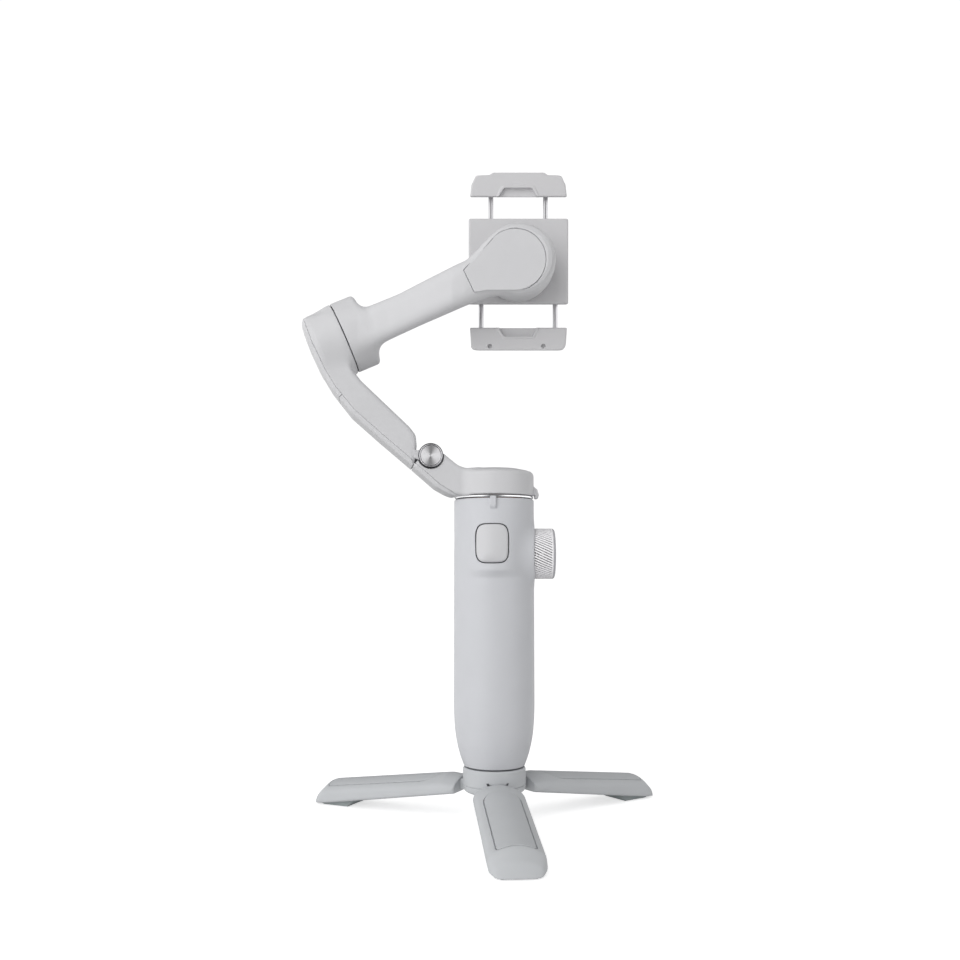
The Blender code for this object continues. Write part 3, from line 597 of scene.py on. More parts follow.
def grip(proud=0.0):
    """The handle's outside. Its front swells round the trigger, above a soft step."""
    plain = lathe(HANDLE, handle_profile())
    height, half_angle = 2.4, math.radians(52.0)
    low, step_length, fade_length, top = 112.0, 4.6, 30.0, 147.0
    steepness = 0.85             # keeps the field from changing faster than distance does

    def field(points):
        p = HANDLE.local(points)
        angle = np.arctan2(p[:, 0], -p[:, 1])
        forward = np.cos(np.clip(angle / half_angle, -1, 1) * math.pi / 2) ** 2
        step = np.clip((p[:, 2] - low) / step_length, 0, 1)
        fade = np.clip((top - p[:, 2]) / fade_length, 0, 1)
        swell = height * forward * step * step * (3 - 2 * step) * fade
        return (plain(points) - proud - swell) * steepness
    return field


def trigger_outline(grow=0.0):
    return squircle(TRIGGER_HALF[0] + grow, TRIGGER_HALF[1] + grow, TRIGGER_AT)


def rear_sector(inner, outer, half_angle, low, high, edge):
    """Part of a ring, centred on the handle's rear."""
    outline = arc((0, 0), outer, REAR - half_angle, REAR + half_angle, 14)
    outline += arc((0, 0), inner, REAR + half_angle, REAR - half_angle, 14)
    return prism(HANDLE, outline, low, high, "Z", edge)


def pill(half_w, half_h, height, grow=0.0):
    return squircle(half_w + grow, half_h + grow, (0, height), 3.0, 24)


def handle_shell():
    body = grip()
    boss = rod(DIAL_AXLE, 12.7, 5.0, 18.3, "X")
    body = common(join(body, boss, k=5.0), beyond(HANDLE, (HANDLE_R, 0, 0), (1, 0, 0)))
    pocket = rod(DIAL_AXLE, DIAL_R + 0.25, DIAL_IN - 0.25, 24.0, "X")
    body = less(body, pocket, k=0.1)
    key = [(-18.0, 144.4), (-19.7, 144.4), (-20.5, 145.6), (-20.4, 149.8), (-19.8, 150.1)]
    key += [(-19.1, 150.1), (-19.1, 149.0), (-18.0, 149.0)]
    body = join(body, prism(HANDLE, key, -2.1, 0.8, "X", 0.4), k=0.4)
    return less(
        body,
        rod(HANDLE, HANDLE_R - 2.4, 31.0, HANDLE_TOP - 2.0, "Z", edge=4.0),
        rod(HANDLE, 5.8, 0.0, 40.0),
        rod(HANDLE, 5.0, 140.0, 160.0),
        prism(HANDLE, trigger_outline(0.33), -26.0, -10.0, "Y", 0.1),
        rear_sector(15.0, 23.0, PANEL_HALF_ANGLE + 0.9, 83.7, 142.3, 0.3),
        rod(DIAL_AXLE, 2.4, 10.0, 24.0, "X"),
        prism(PORT, pill(*PORT_RIM, GAP), 12.0, 24.0, "X", 0.2),
        prism(POWER, pill(*POWER_PAD, GAP), 12.0, 24.0, "X", 0.2),
    )


def trigger_button():
    """Its face follows the swell, proud by a little, with a bevel along its lower edge."""
    block = prism(HANDLE, trigger_outline(), -24.0, -14.5, "Y", 0.2)
    low_y, low_z = -20.6, TRIGGER_AT[1] - TRIGGER_HALF[1]

    def bevel(points):
        p = HANDLE.local(points)
        return ((low_y + 0.9 - p[:, 1]) + (low_z - p[:, 2]) * 0.42) * 0.92
    return common(block, grip(0.3), bevel, k=0.9)


RIDGES, LEAD = 60, 0.38           # ridges round the dial, and how many they slant by per mm
DIAL_R, DIAL_IN = 12.0, 18.5
KNURL_DEPTH = 0.34


def knurl(points):
    """How deep in a groove of the dial's slanting knurl each point is, from 0 to 1."""
    p = DIAL_AXLE.local(points)
    angle = np.arctan2(p[:, 1], p[:, 2])
    wave = (angle / (2 * math.pi) * RIDGES + p[:, 0] * LEAD) % 1.0
    groove = np.clip(1.1 - np.abs(2 * wave - 1) * 2.3, 0, 1)
    band = np.clip((p[:, 0] - 18.6) / 0.2, 0, 1) * np.clip((27.2 - p[:, 0]) / 0.3, 0, 1)
    rim = np.clip((np.hypot(p[:, 1], p[:, 2]) - 11.0) / 0.5, 0, 1)
    return groove * band * rim


def dial_wheel():
    """Straight-sided with a rounded outer rim, and knurled between plain bands."""
    profile = [(0, 12.8), (2.0, 12.8), (2.0, DIAL_IN), (11.8, DIAL_IN), (DIAL_R, 18.7)]
    profile += [(DIAL_R, 27.3), (11.8, 28.1), (11.2, 28.6), (10.4, 28.8), (9.0, 28.8)]
    profile += [(8.4, 28.2), (0, 28.2)]
    plain = lathe(DIAL_AXLE, profile, "X")

    def field(points):
        return plain(points) + KNURL_DEPTH * knurl(points)
    return field


def dial_painted_shade(places):
    """Painted shade: dark in the knurl's grooves, and less so on the outer face."""
    face = np.clip((DIAL_AXLE.local(places)[:, 0] - 27.4) / 0.5, 0, 0.75)
    return np.maximum(knurl(places), face)


def control_panel():
    return less(
        rear_sector(17.3, HANDLE_R + 0.3, PANEL_HALF_ANGLE, 84.0, 142.0, 0.5),
        rod(HANDLE, 6.0, 10.0, 24.0, "Y", (0, STICK_Z)),
        rod(HANDLE, 4.5, 10.0, 24.0, "Y", (0, RECORD_Z)),
        prism(HANDLE, pill(*MODE_PAD, GAP), 10.0, 24.0, "Y", 0.2),
        prism(HANDLE, pill(*LIGHT_BAR, GAP), 10.0, 24.0, "Y", 0.1),
        k=0.5,
    )


def build_handle():
    solid("handle_shell", handle_shell(), "shell", 0.5)
    solid("trigger_button", trigger_button(), "button", 0.25)
    # the dial's grooves and outer face get painted shade
    paint_shade(solid("dial_wheel", dial_wheel(), "dial", 0.17), dial_painted_shade)
    solid("control_panel", control_panel(), "dark", 0.4)
    ring = [(16.4, 149.65), (18.35, 149.65), (18.7, 149.95), (18.7, 150.45), (18.4, 150.75)]
    solid("trim_ring", lathe(HANDLE, ring + [(16.4, 150.75)]), "bright", 0.3)
    stick = HANDLE.moved((0, STICK_Y, STICK_Z))
    yoke = less(rod(stick, 5.0, -1.4, 1.4, "Y", edge=0.4), rod(stick, 3.0, -3.0, 3.0, "Y"))
    solid("joystick_yoke", yoke, "dark", 0.35)
    cap = [(0, -0.8), (1.8, -0.8), (1.8, 5.0), (2.6, 5.8), (4.8, 6.5), (5.3, 7.2), (5.2, 8.2)]
    cap += [(4.7, 8.8), (3.8, 8.8), (2.8, 8.3), (0, 8.1)]
    ribs = [rod(stick, 0.35, 8.0, 9.0, "Y", (4.3 * math.cos(a), 4.3 * math.sin(a)), 0.2)
            for a in np.arange(0, 2 * math.pi, math.pi / 6)]
    solid("joystick_cap", join(lathe(stick, cap, "Y"), *ribs, k=0.3), "pad", 0.25)
    disc = [(0, 15.6), (4.2, 15.6), (4.2, 19.5), (3.8, 20.0), (2.6, 20.0), (1.6, 19.7), (0, 19.6)]
    record = HANDLE.moved((0, 0, RECORD_Z))
    solid("record_button", lathe(record, disc, "Y"), "red", 0.25)
    mode = prism(HANDLE, pill(*MODE_PAD), 15.6, 20.0, "Y", 0.7)
    dish = rod(HANDLE, 14.0, -6.0, 6.0, "X", (33.6, MODE_PAD[2]), 0.2)
    solid("mode_button", less(mode, dish, k=0.5), "pad", 0.25)
    light = prism(HANDLE, pill(*LIGHT_BAR), 17.0, 19.2, "Y", 0.3)
    solid("status_light", light, "lens", 0.2)
    button = prism(POWER, pill(*POWER_PAD), 15.4, 19.5, "X", 0.7)
    solid("power_button", button, "button", 0.25)
    port = less(prism(PORT, pill(*PORT_RIM), 12.5, 18.7, "X", 0.2),
                prism(PORT, pill(*PORT_RIM, -0.4), 14.0, 20.0, "X", 0.1))
    tongue = brick(PORT, (13.0, -0.35, PORT_RIM[2] - 3), (17.6, 0.35, PORT_RIM[2] + 3), 0.1)
    solid("usb_port", join(port, tongue), "motor", 0.2)


# ---- folding arm ----

ARM_DEPTH = 12.4
KNUCKLE_R = 5.6
KNUCKLE_HALF = 7.6
PIN_HOLE_R = 2.2
EAR_IN = 7.9
BASE_RIM = [(-19.5, 150.75, 0), (-21.0, 151.0, 1), (-23.4, 151.9, 3), (-28.3, 154.6, 3),
            (-39.3, 164.08, 0.15)]
BASE_SEAM = [(-37.6, 165.1, 0), (-26.8, 155.9, 4), (-21.9, 152.9, 3), (-19.0, 151.2, 0)]
ARM_RIM = [(-39.45, 164.2, 0.15), (-55.0, 177.3, 12), (-68.1, 188.8, 10), (-77.4, 200.6, 12),
           (-82.1, 208.5, 15), (-88.1, 221.1, 15), (-91.0, 229.2, 4), (-90.9, 233.0, 3)]
ARM_SEAM = [(-38.2, 165.9, 0), (-53.8, 179.0, 12), (-66.7, 190.4, 10), (-75.9, 201.6, 12),
            (-80.5, 209.4, 15), (-86.4, 221.4, 15), (-90.4, 232.0, 0)]
TICK = ((-73.9, 195.9), (-72.4, 197.0))        # where the two rims of the upper arm meet
RIM_CUT = 1.9


def slab(outline, cut, edge):
    """As deep as the arm; its rims are cut at 45 degrees, then rounded by edge."""
    least, most = (*np.min(outline, axis=0), -ARM_DEPTH), (*np.max(outline, axis=0), ARM_DEPTH)

    def shape(u, v, along):
        flat = polygon_distance(u, v, outline)
        deep = np.abs(along) - ARM_DEPTH
        slant = (flat + deep + cut) * math.sqrt(0.5)
        return -smooth_min(smooth_min(-flat, -deep, edge), -slant, edge)

    def field(points):
        p = ARM.local(points)
        return exact_near(shape, (p[:, 0], p[:, 2], p[:, 1]), least, most)
    return field


def rim_region(seam, outer):
    """What lies outside a seam line, as a shape to cut by."""
    return prism(ARM, soft(seam + outer), -30.0, 30.0, "Y", 0)


def base_region():
    return rim_region(BASE_SEAM, [(-19.0, 145.0, 0), (-45.0, 148.0, 0), (-45.0, 170.0, 0)])


def arm_base_body(cut, edge):
    arm = [(-37.1, 167.0, 0.3), (-25.2, 170.4, 0.8), (-18.6, 165.0, 8), (-14.0, 163.1, 6)]
    arm += [(-8.0, 163.1), (-8.0, 151.15)]
    return slab(soft(BASE_RIM + arm), cut, edge)


def arm_base():
    cap = [(0, 151.1), (18.6, 151.1), (19.0, 151.5), (19.0, 160.4), (18.7, 161.6), (17.9, 162.4)]
    cap += [(16.2, 163.0), (12.0, 163.9), (6.0, 164.5), (0, 164.6)]
    arm = common(arm_base_body(0.4, 1.2), beyond(ARM, (0, 0, 151.1), (0, 0, -1)))
    body = join(lathe(ARM, cap), arm, k=2.5)
    lug_side = ARM.turned("Z", -6.0)
    lug = [(19.3, 149.7, 0.3), (21.0, 149.7, 0.9), (21.4, 151.6, 0.9), (20.6, 154.2, 1.0)]
    lug += [(18.2, 156.0, 0.5), (17.0, 152.0, 0.1), (19.3, 151.4, 0.1)]
    body = join(body, prism(lug_side, soft(lug), -3.0, 3.0, "Y", 0.8), k=0.8)
    sides = [rod(HINGE, KNUCKLE_R + 0.5, low, high, "Y", edge=0.1)
             for low, high in ((-20.0, -KNUCKLE_HALF), (KNUCKLE_HALF, 20.0))]
    body = less(body, rod(ARM, 15.8, 148.0, 160.8), *sides)
    body = less(body, base_region(), k=0.12)
    knuckle = rod(HINGE, KNUCKLE_R, -KNUCKLE_HALF, KNUCKLE_HALF, "Y")
    return less(join(body, knuckle, k=0.3), rod(HINGE, PIN_HOLE_R, -20.0, 20.0, "Y"))


def arm_base_cover():
    rim = common(arm_base_body(RIM_CUT, 0.5), base_region(), k=0.1)
    return less(rim, rod(ARM, HANDLE_R + 0.3, 145.0, 152.0), k=0.1)


def arm_region():
    beyond_rim = [(-100.0, 245.0, 0), (-100.0, 180.0, 0), (-60.0, 160.0, 0), (-40.5, 158.0, 0)]
    return rim_region(ARM_SEAM, beyond_rim + [(-39.9, 164.0, 0)])


def upper_arm_body(cut, edge):
    end = [(-86.0, 233.6, 1), (-79.0, 234.0, 1), (-74.0, 224.0, 1), (-67.6, 209.0, 1)]
    inner = [(-63.6, 203.9, 5), (-41.0, 182.6, 5), (-38.0, 178.8, 5), (-37.5, 173.5, 5)]
    inner += [(-38.2, 168.7, 3), (-38.5, 165.6, 0.2)]
    can = [(0, -15.0), (13.0, -15.0), (14.5, -14.7), (15.4, -13.8), (15.9, -12.4), (16.4, -8.0)]
    can += [(17.2, -2.5), (17.35, -0.75), (17.1, -0.45), (0, -0.45)]
    return join(slab(soft(ARM_RIM + end + inner), cut, edge), lathe(TILT, can, "X"), k=3.5)


def upper_arm():
    web = [(-39.0, 171.2, 0.5), (-35.6, 171.8, 1), (-32.5, 169.0, 1), (-36.2, 166.9, 1)]
    web = soft(web + [(-38.5, 168.0, 0.5)])
    ears = []
    for low, high in ((-ARM_DEPTH + 0.2, -EAR_IN), (EAR_IN, ARM_DEPTH - 0.2)):
        ears.append(prism(ARM, web, low, high, "Y", 0.5))
        ears.append(rod(HINGE, KNUCKLE_R, low, high, "Y", edge=0.4))
    body = join(upper_arm_body(0.4, 1.6), *ears, k=0.8)
    seat = rod(TILT, 15.0, -7.0, 3.0, "X")
    pin = rod(HINGE, PIN_HOLE_R, -20.0, 20.0, "Y")
    gap_half = KNUCKLE_HALF + 0.2
    gap = rod(HINGE, KNUCKLE_R + 0.6, -gap_half, gap_half, "Y")
    return less(body, seat, pin, gap, arm_region())


def tick_side(sign):
    """The plane between the upper arm's two rims, with a little clearance."""
    (ax, az), (bx, bz) = TICK
    across = np.array([-(bz - az), 0.0, bx - ax]) * sign
    across /= np.linalg.norm(across)
    return beyond(ARM, np.array([ax, 0.0, az]) - 0.08 * across, across)


def arm_strip(sign):
    """One of the upper arm's two rims: 1 for the lower, -1 for the upper."""
    return common(upper_arm_body(RIM_CUT, 0.5), arm_region(), tick_side(sign), k=0.1)


def hinge_disc():
    """A polished rim, a groove, and a face dished like a shallow cone."""
    profile = [(0, -13.15), (4.55, -13.35), (4.7, -12.95), (5.0, -12.95), (5.15, -13.45)]
    profile += [(5.35, -13.5), (5.8, -13.05), (5.8, -12.5), (0, -12.5)]
    return lathe(HINGE, profile, "Y")


def disc_painted_shade(places):
    """Painted shade: dark round the rim, with a thinner line in the groove."""
    p = HINGE.local(places)
    out = np.hypot(p[:, 0], p[:, 2])
    return np.clip((out - 5.3) / 0.15, 0, 1) + 0.6 * (np.abs(out - 4.85) < 0.15)


def build_arm():
    solid("arm_base", arm_base(), "arm", 0.4)
    solid("arm_base_cover", arm_base_cover(), "arm", 0.3)
    solid("upper_arm", upper_arm(), "arm", 0.4)
    solid("upper_arm_cover", arm_strip(1), "arm", 0.3)
    solid("tilt_motor_cover", arm_strip(-1), "arm", 0.3)
    # the hinge disc's rim and groove get painted shade
    paint_shade(solid("hinge_disc", hinge_disc(), "turned", 0.09), disc_painted_shade)
    cap = [(0, 12.55), (5.3, 12.55), (5.3, 13.1), (5.0, 13.4), (2.0, 13.4), (1.6, 13.0), (0, 13.0)]
    solid("hinge_rear_cap", lathe(HINGE, cap, "Y"), "bright", 0.25)


# ---- roll arm ----

MOTOR_R = 17.4
HOUSING_FRONT = -44.0
HOUSING_BACK = -17.6


def drop_outline(grow=0.0):
    """The front cover: round about the motor, running to a square end on the arm."""
    curve = [(*point, 0) for point in arc((-2.0, -1.1), 13.7 + grow, -90, 128, 24)]
    curve += [(-16.2 - grow, 3.2 + grow, 6), (-24.9 - grow * 1.3, -5.9 + grow * 0.6, 0.9)]
    curve += [(-20.2 - grow * 0.6, -15.8 - grow, 0.9), (-14.4, -14.8 - grow, 8)]
    return soft(curve)


def roll_arm():
    barrel = [(0, 0.05), (MOTOR_R - 0.25, 0.05), (MOTOR_R, 0.35), (MOTOR_R, 9.8)]
    barrel += [(MOTOR_R - 0.3, 10.8), (16.3, 11.4), (14.5, 11.6), (0, 11.6)]
    barrel = lathe(TILT, barrel, "X")
    puck = [(0, HOUSING_BACK), (15.0, HOUSING_BACK), (15.9, -18.6), (16.5, -26.0), (16.6, -34.0)]
    puck += [(16.4, -38.6), (15.7, -41.4), (14.6, -43.1), (12.9, HOUSING_FRONT), (0, HOUSING_FRONT)]
    puck = lathe(HEAD, puck, "Y")
    side = [(-84.0, -24.5, 1), (-70.3, -18.6, 6), (-54.5, -13.2, 10), (-41.4, -7.7, 10)]
    side += [(-24.0, -0.4, 8), (-16.4, 6.8, 6), (-6.0, 12.0, 2), (-3.0, -15.0, 2)]
    side += [(-13.5, -16.6, 8), (-21.6, -19.6, 8), (-57.8, -33.8, 6), (-66.0, -37.2, 2)]
    side += [(-80.0, -40.0, 1)]
    side = prism(HEAD, soft(side), -60.0, 10.0, "Y", 0)
    plan = [(-84.0, -25.0, 1), (-74.0, -26.3, 8), (-60.0, -30.4, 20), (-44.0, -37.6, 20)]
    plan += [(-30.0, -43.2, 8), (-24.0, HOUSING_FRONT, 6), (-4.0, HOUSING_FRONT, 1)]
    plan += [(-4.0, -30.0, 1), (-24.0, -30.0, 8), (-44.0, -25.0, 15), (-58.0, -19.4, 6)]
    plan = prism(HEAD, soft(plan + [(-68.0, -10.0, 3), (-82.0, -6.0, 1)]), -60.0, 40.0, "Z", 0)
    arm = common(side, plan, k=7.0)
    body = join(join(barrel, arm, k=5.0), puck, k=3.0)
    body = less(body, rod(TILT, 40.0, -20.0, 0.0, "X"), k=0.1)
    pocket = prism(HEAD, drop_outline(0.13), -60.0, HOUSING_FRONT + 1.0, "Y", 0.1)
    return less(body, rod(TILT, 15.8, -4.0, 8.7, "X"), rod(HEAD, 14.8, -37.4, -10.0, "Y"), pocket,
                k=0.15)


def build_roll_arm():
    solid("roll_arm", roll_arm(), "arm", 0.45)
    cover = prism(HEAD, drop_outline(), HOUSING_FRONT - 0.02, HOUSING_FRONT + 0.9, "Y", 0.25)
    solid("roll_arm_cover", cover, "arm", 0.3)


# ---- clamp ----

CLAMP_MID = HEAD.local((joint_place("clamp_open") + joint_place("clamp_follow")) / 2)
MID_X, ROD_Y, MID_Z = map(float, CLAMP_MID)
PLATE_BACK = -17.0
ROD_X = {1: 13.0, -1: 17.6}      # how far out the upper and lower rods are
ROD_HOLE_R = 1.45


def band(space, outline, low, high, half_width):
    """A raised line that follows an open outline."""
    there_and_back = outline + outline[-2:0:-1]

    def field(points):
        along, u, v = along_and_across(space, "Y", points)
        flat = polygon_distance(u, v, there_and_back) - half_width
        return capped(flat, along, low, high, 0.25)
    return field


def clamp_plate():
    half_x, half_z = 23.5, 20.2
    low = (MID_X - half_x, PLATE_BACK, MID_Z - half_z)
    high = (MID_X + half_x, -8.3, MID_Z + half_z)
    body = brick(HEAD, low, high, 0.9)
    chamfer = [(-half_x - 2, 0.9), (-half_x + 1.3, -1.5), (-half_x - 2, -1.5)]
    cutters = [brick(HEAD, (low[0] + 2, -14.9, low[2] + 2), (high[0] - 2, -4, high[2] - 2), 0.5)]
    for sign in (-1, 1):
        outline = [(MID_X + sign * u, PLATE_BACK + v) for u, v in chamfer]
        cutters.append(prism(HEAD, outline, -60, 60, "Z", 0))
        for end, x in ROD_X.items():
            z = MID_Z + end * half_z
            cutters.append(rod(HEAD, ROD_HOLE_R, z - 4, z + 4, "Z", (MID_X + sign * x, ROD_Y)))
    cutters.append(rod(HEAD, 2.5, -20.0, -10.0, "Y"))
    draft = beyond(HEAD, (0, PLATE_BACK + 0.8, low[2]), (0, 0.15, -1))
    return less(common(body, draft, k=0.6), *cutters, k=0.5)


def heights(sign, near, far):
    """Two distances up or down from the clamp's middle, as a low and a high one."""
    return sorted((MID_Z + sign * near, MID_Z + sign * far))


def jaw(sign, inner, edge, contact):
    """Mirrored up and down by sign; heights are from the middle of the clamp."""
    def up(points):
        return [(MID_X + p[0], MID_Z + sign * p[1], *p[2:]) for p in points]

    half = [(-22.9, inner, 0.6), (-22.2, edge, 4.2)]
    if sign > 0:
        half = [(-22.9, inner, 0.6), (-22.2, edge - 4.4, 3), (-20.2, edge, 2)]
        half += [(-13.7, edge + 0.3, 0.5), (-12.1, edge + 1.4, 0.8)]
    mirrored = [(-p[0], *p[1:]) for p in reversed(half)]
    body = prism(HEAD, soft(up(half + mirrored), segments=6), PLATE_BACK, 8.0, "Y", 0.9)
    foot, lean = (inner, 0.32) if sign > 0 else (-edge, 0.20)
    draft = beyond(HEAD, (0, PLATE_BACK + 1.0, MID_Z + foot), (0, lean, -1))
    body = common(body, draft, k=0.9)
    trough = up([(-8.9, inner - 2, 0), (-8.9, inner + 0.6, 0.8), (-6.7, inner + 4.2, 1.6),
                 (6.4, inner + 4.2, 1.6), (8.3, inner + 0.6, 0.8), (8.3, inner - 2, 0)])
    rim = soft(up([(-9.6, inner + 0.2, 0), (-7.3, inner + 4.6, 2), (7.0, inner + 4.6, 2),
                   (9.0, inner + 0.2, 0)]), 0)
    line = band(HEAD, rim, PLATE_BACK - 0.4, PLATE_BACK + 1.2, 0.6)
    line = common(line, beyond(HEAD, (0, 0, MID_Z + sign * (inner + 0.3)), (0, 0, -sign)))
    body = join(body, line, k=0.6)
    body = less(body, prism(HEAD, soft(trough), -30.0, PLATE_BACK + 1.9, "Y", 0.4), k=0.5)

    def layer(low, high, y_low, y_high, edge_r):
        low, high = heights(sign, low, high)
        return brick(HEAD, (MID_X - 30, y_low, low), (MID_X + 30, y_high, high), edge_r)

    holes = [rod(HEAD, ROD_HOLE_R, *heights(sign, inner - 3, 37.6), "Z",
                 (MID_X + side * ROD_X[sign], ROD_Y)) for side in (-1, 1)]
    if sign < 0:
        for x in (-13.0, 12.2):
            holes.append(rod(HEAD, 1.0, -20.0, PLATE_BACK + 1.8, "Y", (x, -36.4), 0.1))
    mouth = layer(18.0, contact + 1.1, -6.4, 4.6, 0.6)
    return less(body, mouth, layer(18.0, contact - 2.6, 4.0, 12, 0.4), *holes, k=0.4)


def jaw_pad(sign, contact):
    """A soft strip with ribs across it that grip the phone's edge."""
    low, high = heights(sign, contact, contact + 1.05)
    body = brick(HEAD, (MID_X - 20.5, -5.9, low), (MID_X + 20.5, 4.2, high), 0.35)
    face, groove = MID_Z + sign * contact, 0.35
    grooves = [brick(HEAD, (x - groove, -9, face - groove), (x + groove, 9, face + groove), 0.1)
               for x in MID_X + np.arange(-18, 19, 2.0)]
    return less(body, *grooves)


def phone_pad():
    low, high = (MID_X - 22.0, -8.0, MID_Z - 18.4), (MID_X + 22.0, -6.0, MID_Z + 18.4)
    body = brick(HEAD, low, high, 0.7)
    grooves = [brick(HEAD, (MID_X - 19, -6.3, z - 0.5), (MID_X + 19, -4, z + 0.5), 0.2)
               for z in MID_Z + np.arange(-15, 16, 5)]
    return less(body, *grooves)


def slide_rod(sign, rod_x):
    low, high = heights(sign, -11.4, 37.0)
    neck = MID_Z + sign * 35.6
    body = rod(HEAD, 1.2, low, high, "Z", (MID_X + rod_x, ROD_Y), 0.3)
    ring = [(1.0, neck - 0.4), (2.0, neck - 0.4), (2.0, neck + 0.4), (1.0, neck + 0.4)]
    return less(body, lathe(HEAD, ring, "Z", 0, (MID_X + rod_x, ROD_Y)))


def build_clamp():
    solid("clamp_plate", clamp_plate(), "clamp", 0.4)
    solid("phone_pad", phone_pad(), "pad", 0.4)
    sizes = (("upper", 1, 30.2, 40.5, 37.2), ("lower", -1, 31.2, 42.2, 34.2))
    for name, sign, inner, edge, contact in sizes:
        solid(f"{name}_jaw", jaw(sign, inner, edge, contact), "clamp", 0.3)
        solid(f"{name}_jaw_pad", jaw_pad(sign, contact), "pad", 0.3)
        for side, x in (("left", -ROD_X[sign]), ("right", ROD_X[sign])):
            solid(f"{name}_rod_{side}", slide_rod(sign, x), "rod", 0.22)


# ---- tripod ----

HUB_R = 14.7
LEG_START = 4.6
LEG_TOP = 4.6
LEG_HALF = 11.7
ROOT_RISE = 1.1                  # how much higher the top is at the hub than at the nose
CROWN = 4.2                      # how much lower the top is at its edges
NOSE_FROM = 78.6
LEG_END = 86.5
LEG_HOLE_R = 1.35


def tripod_hub():
    profile = [(0, 13.0), (13.0, 13.0), (14.1, 13.7), (14.6, 15.2), (14.65, 16.2), (14.35, 16.4)]
    profile += [(HUB_R, 16.6), (HUB_R, 23.6), (14.2, 24.3), (0, 24.3)]
    body = lathe(HANDLE, profile)
    cutters = [rod(HANDLE, 3.4, 17.0, 30.0)]
    for number in (1, 2, 3):
        level = leg_space(number).turned("Y", -LEG_SLOPE)
        cutters.append(brick(level, (-4.2, -4.1, -8.0), (12.0, 4.1, 2.85), 0.3))
        cutters.append(rod(level, LEG_HOLE_R, -6.9, 6.9, "Y"))
    front = leg_space(1).turned("Y", -LEG_SLOPE).moved((-10.4, 0, 3.3))
    for angle in (-17.0, 19.0):
        cutters.append(rod(front.turned("Z", angle), 0.6, 10.0, 20.0, "X", (0, -0.4), 0.1))
    return less(body, *cutters)


def leg_panel_outline(grow=0.0):
    """Round at the hub end; the far end is a shallow wave."""
    half = 8.1 + grow
    outline = arc((16.5 + half, 0), half, 270, 90, 16)
    far = [(75.8 + grow, half - 0.2), (76.6 + grow, half - 1.4), (76.7 + grow, half - 4.0)]
    far += [(76.5 + grow, 0)]
    return outline + far + [(x, -y) for x, y in reversed(far[:-1])]


def drop(along, across):
    """How much lower a leg's top is than at the middle of its hub end."""
    return CROWN * (across / LEG_HALF) ** 2 + ROOT_RISE * np.clip(along / NOSE_FROM, 0, 1)


def leg(number):
    """Crowned across its width, with a nose that slopes down to the floor."""
    space = leg_space(number)
    top = LEG_TOP + ROOT_RISE
    side = [(LEG_START + 1.4, -2.9, 0.3), (LEG_START, top - 1.55, 0.6), (12.0, top, 5)]
    side += [(NOSE_FROM - 1, top, 5), (83.0, 0.6 + ROOT_RISE, 5), (LEG_END, -5.0, 0.6)]
    side += [(85.0, -5.4, 0.3), (80.0, -5.3, 1), (72.0, -5.2, 4), (LEG_START + 4, -2.9, 4)]
    plan = [(LEG_START, LEG_HALF - 0.8, 0.8), (10.0, LEG_HALF, 4), (80.0, LEG_HALF - 0.2, 4)]
    plan += [(84.4, LEG_HALF - 2.0, 2), (LEG_END, LEG_HALF - 4.6, 3)]
    plan += [(x, -y, r) for x, y, r in reversed(plan)]
    profile = prism(space, soft(side), -30, 30, "Y", 0)

    def crowned(points):
        p = space.local(points)
        return profile(points + drop(p[:, 0], p[:, 1])[:, None] * space.axes[2])
    body = common(profile, crowned, k=0.05)
    body = common(body, prism(space, soft(plan), -30, 30, "Z", 0), k=1.9)
    under = brick(space, (9.5, -9.6, -9.0), (68.0, 9.6, 2.0), 1.2)
    body = less(body, common(under, below_skin(number, 1.8), k=0.5), k=0.5)
    tongue = arc((0, 0), 2.6, 90, 270, 10) + [(2.0, -2.1), (9.5, -2.1), (9.5, 2.6)]
    body = join(body, prism(space, tongue, -3.5, 3.5, "Y", 0.3), k=0.6)
    ribs = [brick(space, (p - 0.5, -9.8, -1.5), (p + 0.5, 9.8, 2.4), 0.2) for p in (24, 39, 54)]
    body = join(body, common(join(*ribs), below_skin(number, 1.4)), k=0.5)
    seat = prism(space, leg_panel_outline(0.2), -1.0, top + 6, "Z", 0.1)
    seat = common(seat, above_skin(number, 0.7), k=0.05)
    return less(body, seat, rod(space, LEG_HOLE_R, -5, 5, "Y"), k=0.25)


def above_skin(number, depth):
    """All that is above a depth below the crowned top."""
    space = leg_space(number)

    def field(points):
        p = space.local(points)
        return LEG_TOP + ROOT_RISE - depth - drop(p[:, 0], p[:, 1]) - p[:, 2]
    return field


def below_skin(number, depth):
    return opposite(above_skin(number, depth))


def leg_panel(number):
    space = leg_space(number)
    outline = prism(space, leg_panel_outline(-0.15), -1.0, LEG_TOP + 4, "Z", 0.0)
    return common(outline, above_skin(number, 0.65), below_skin(number, -0.03), k=0.3)


def leg_foot(number):
    space = leg_space(number)
    pin_height = float(joint_place("leg_fold_1")[2])
    tilt = math.radians(LEG_SLOPE)

    def sole(distance):
        return (distance, distance * math.tan(tilt) - pin_height / math.cos(tilt))
    outline = [(*sole(66.5), 0.6), (*sole(80.0), 0.6), (83.0, -5.0, 0.3), (62.0, -4.6, 0.3)]
    return prism(space, soft(outline), -8.0, 8.0, "Y", 0.5)


def build_tripod():
    solid("tripod_hub", tripod_hub(), "tripod", 0.3)
    for number in (1, 2, 3):
        solid(f"leg_{number}", leg(number), "tripod", 0.42)
        solid(f"leg_panel_{number}", leg_panel(number), "inset", 0.35)
        solid(f"leg_foot_{number}", leg_foot(number), "sole", 0.35)


# ---- pieces kept from the CAD ----

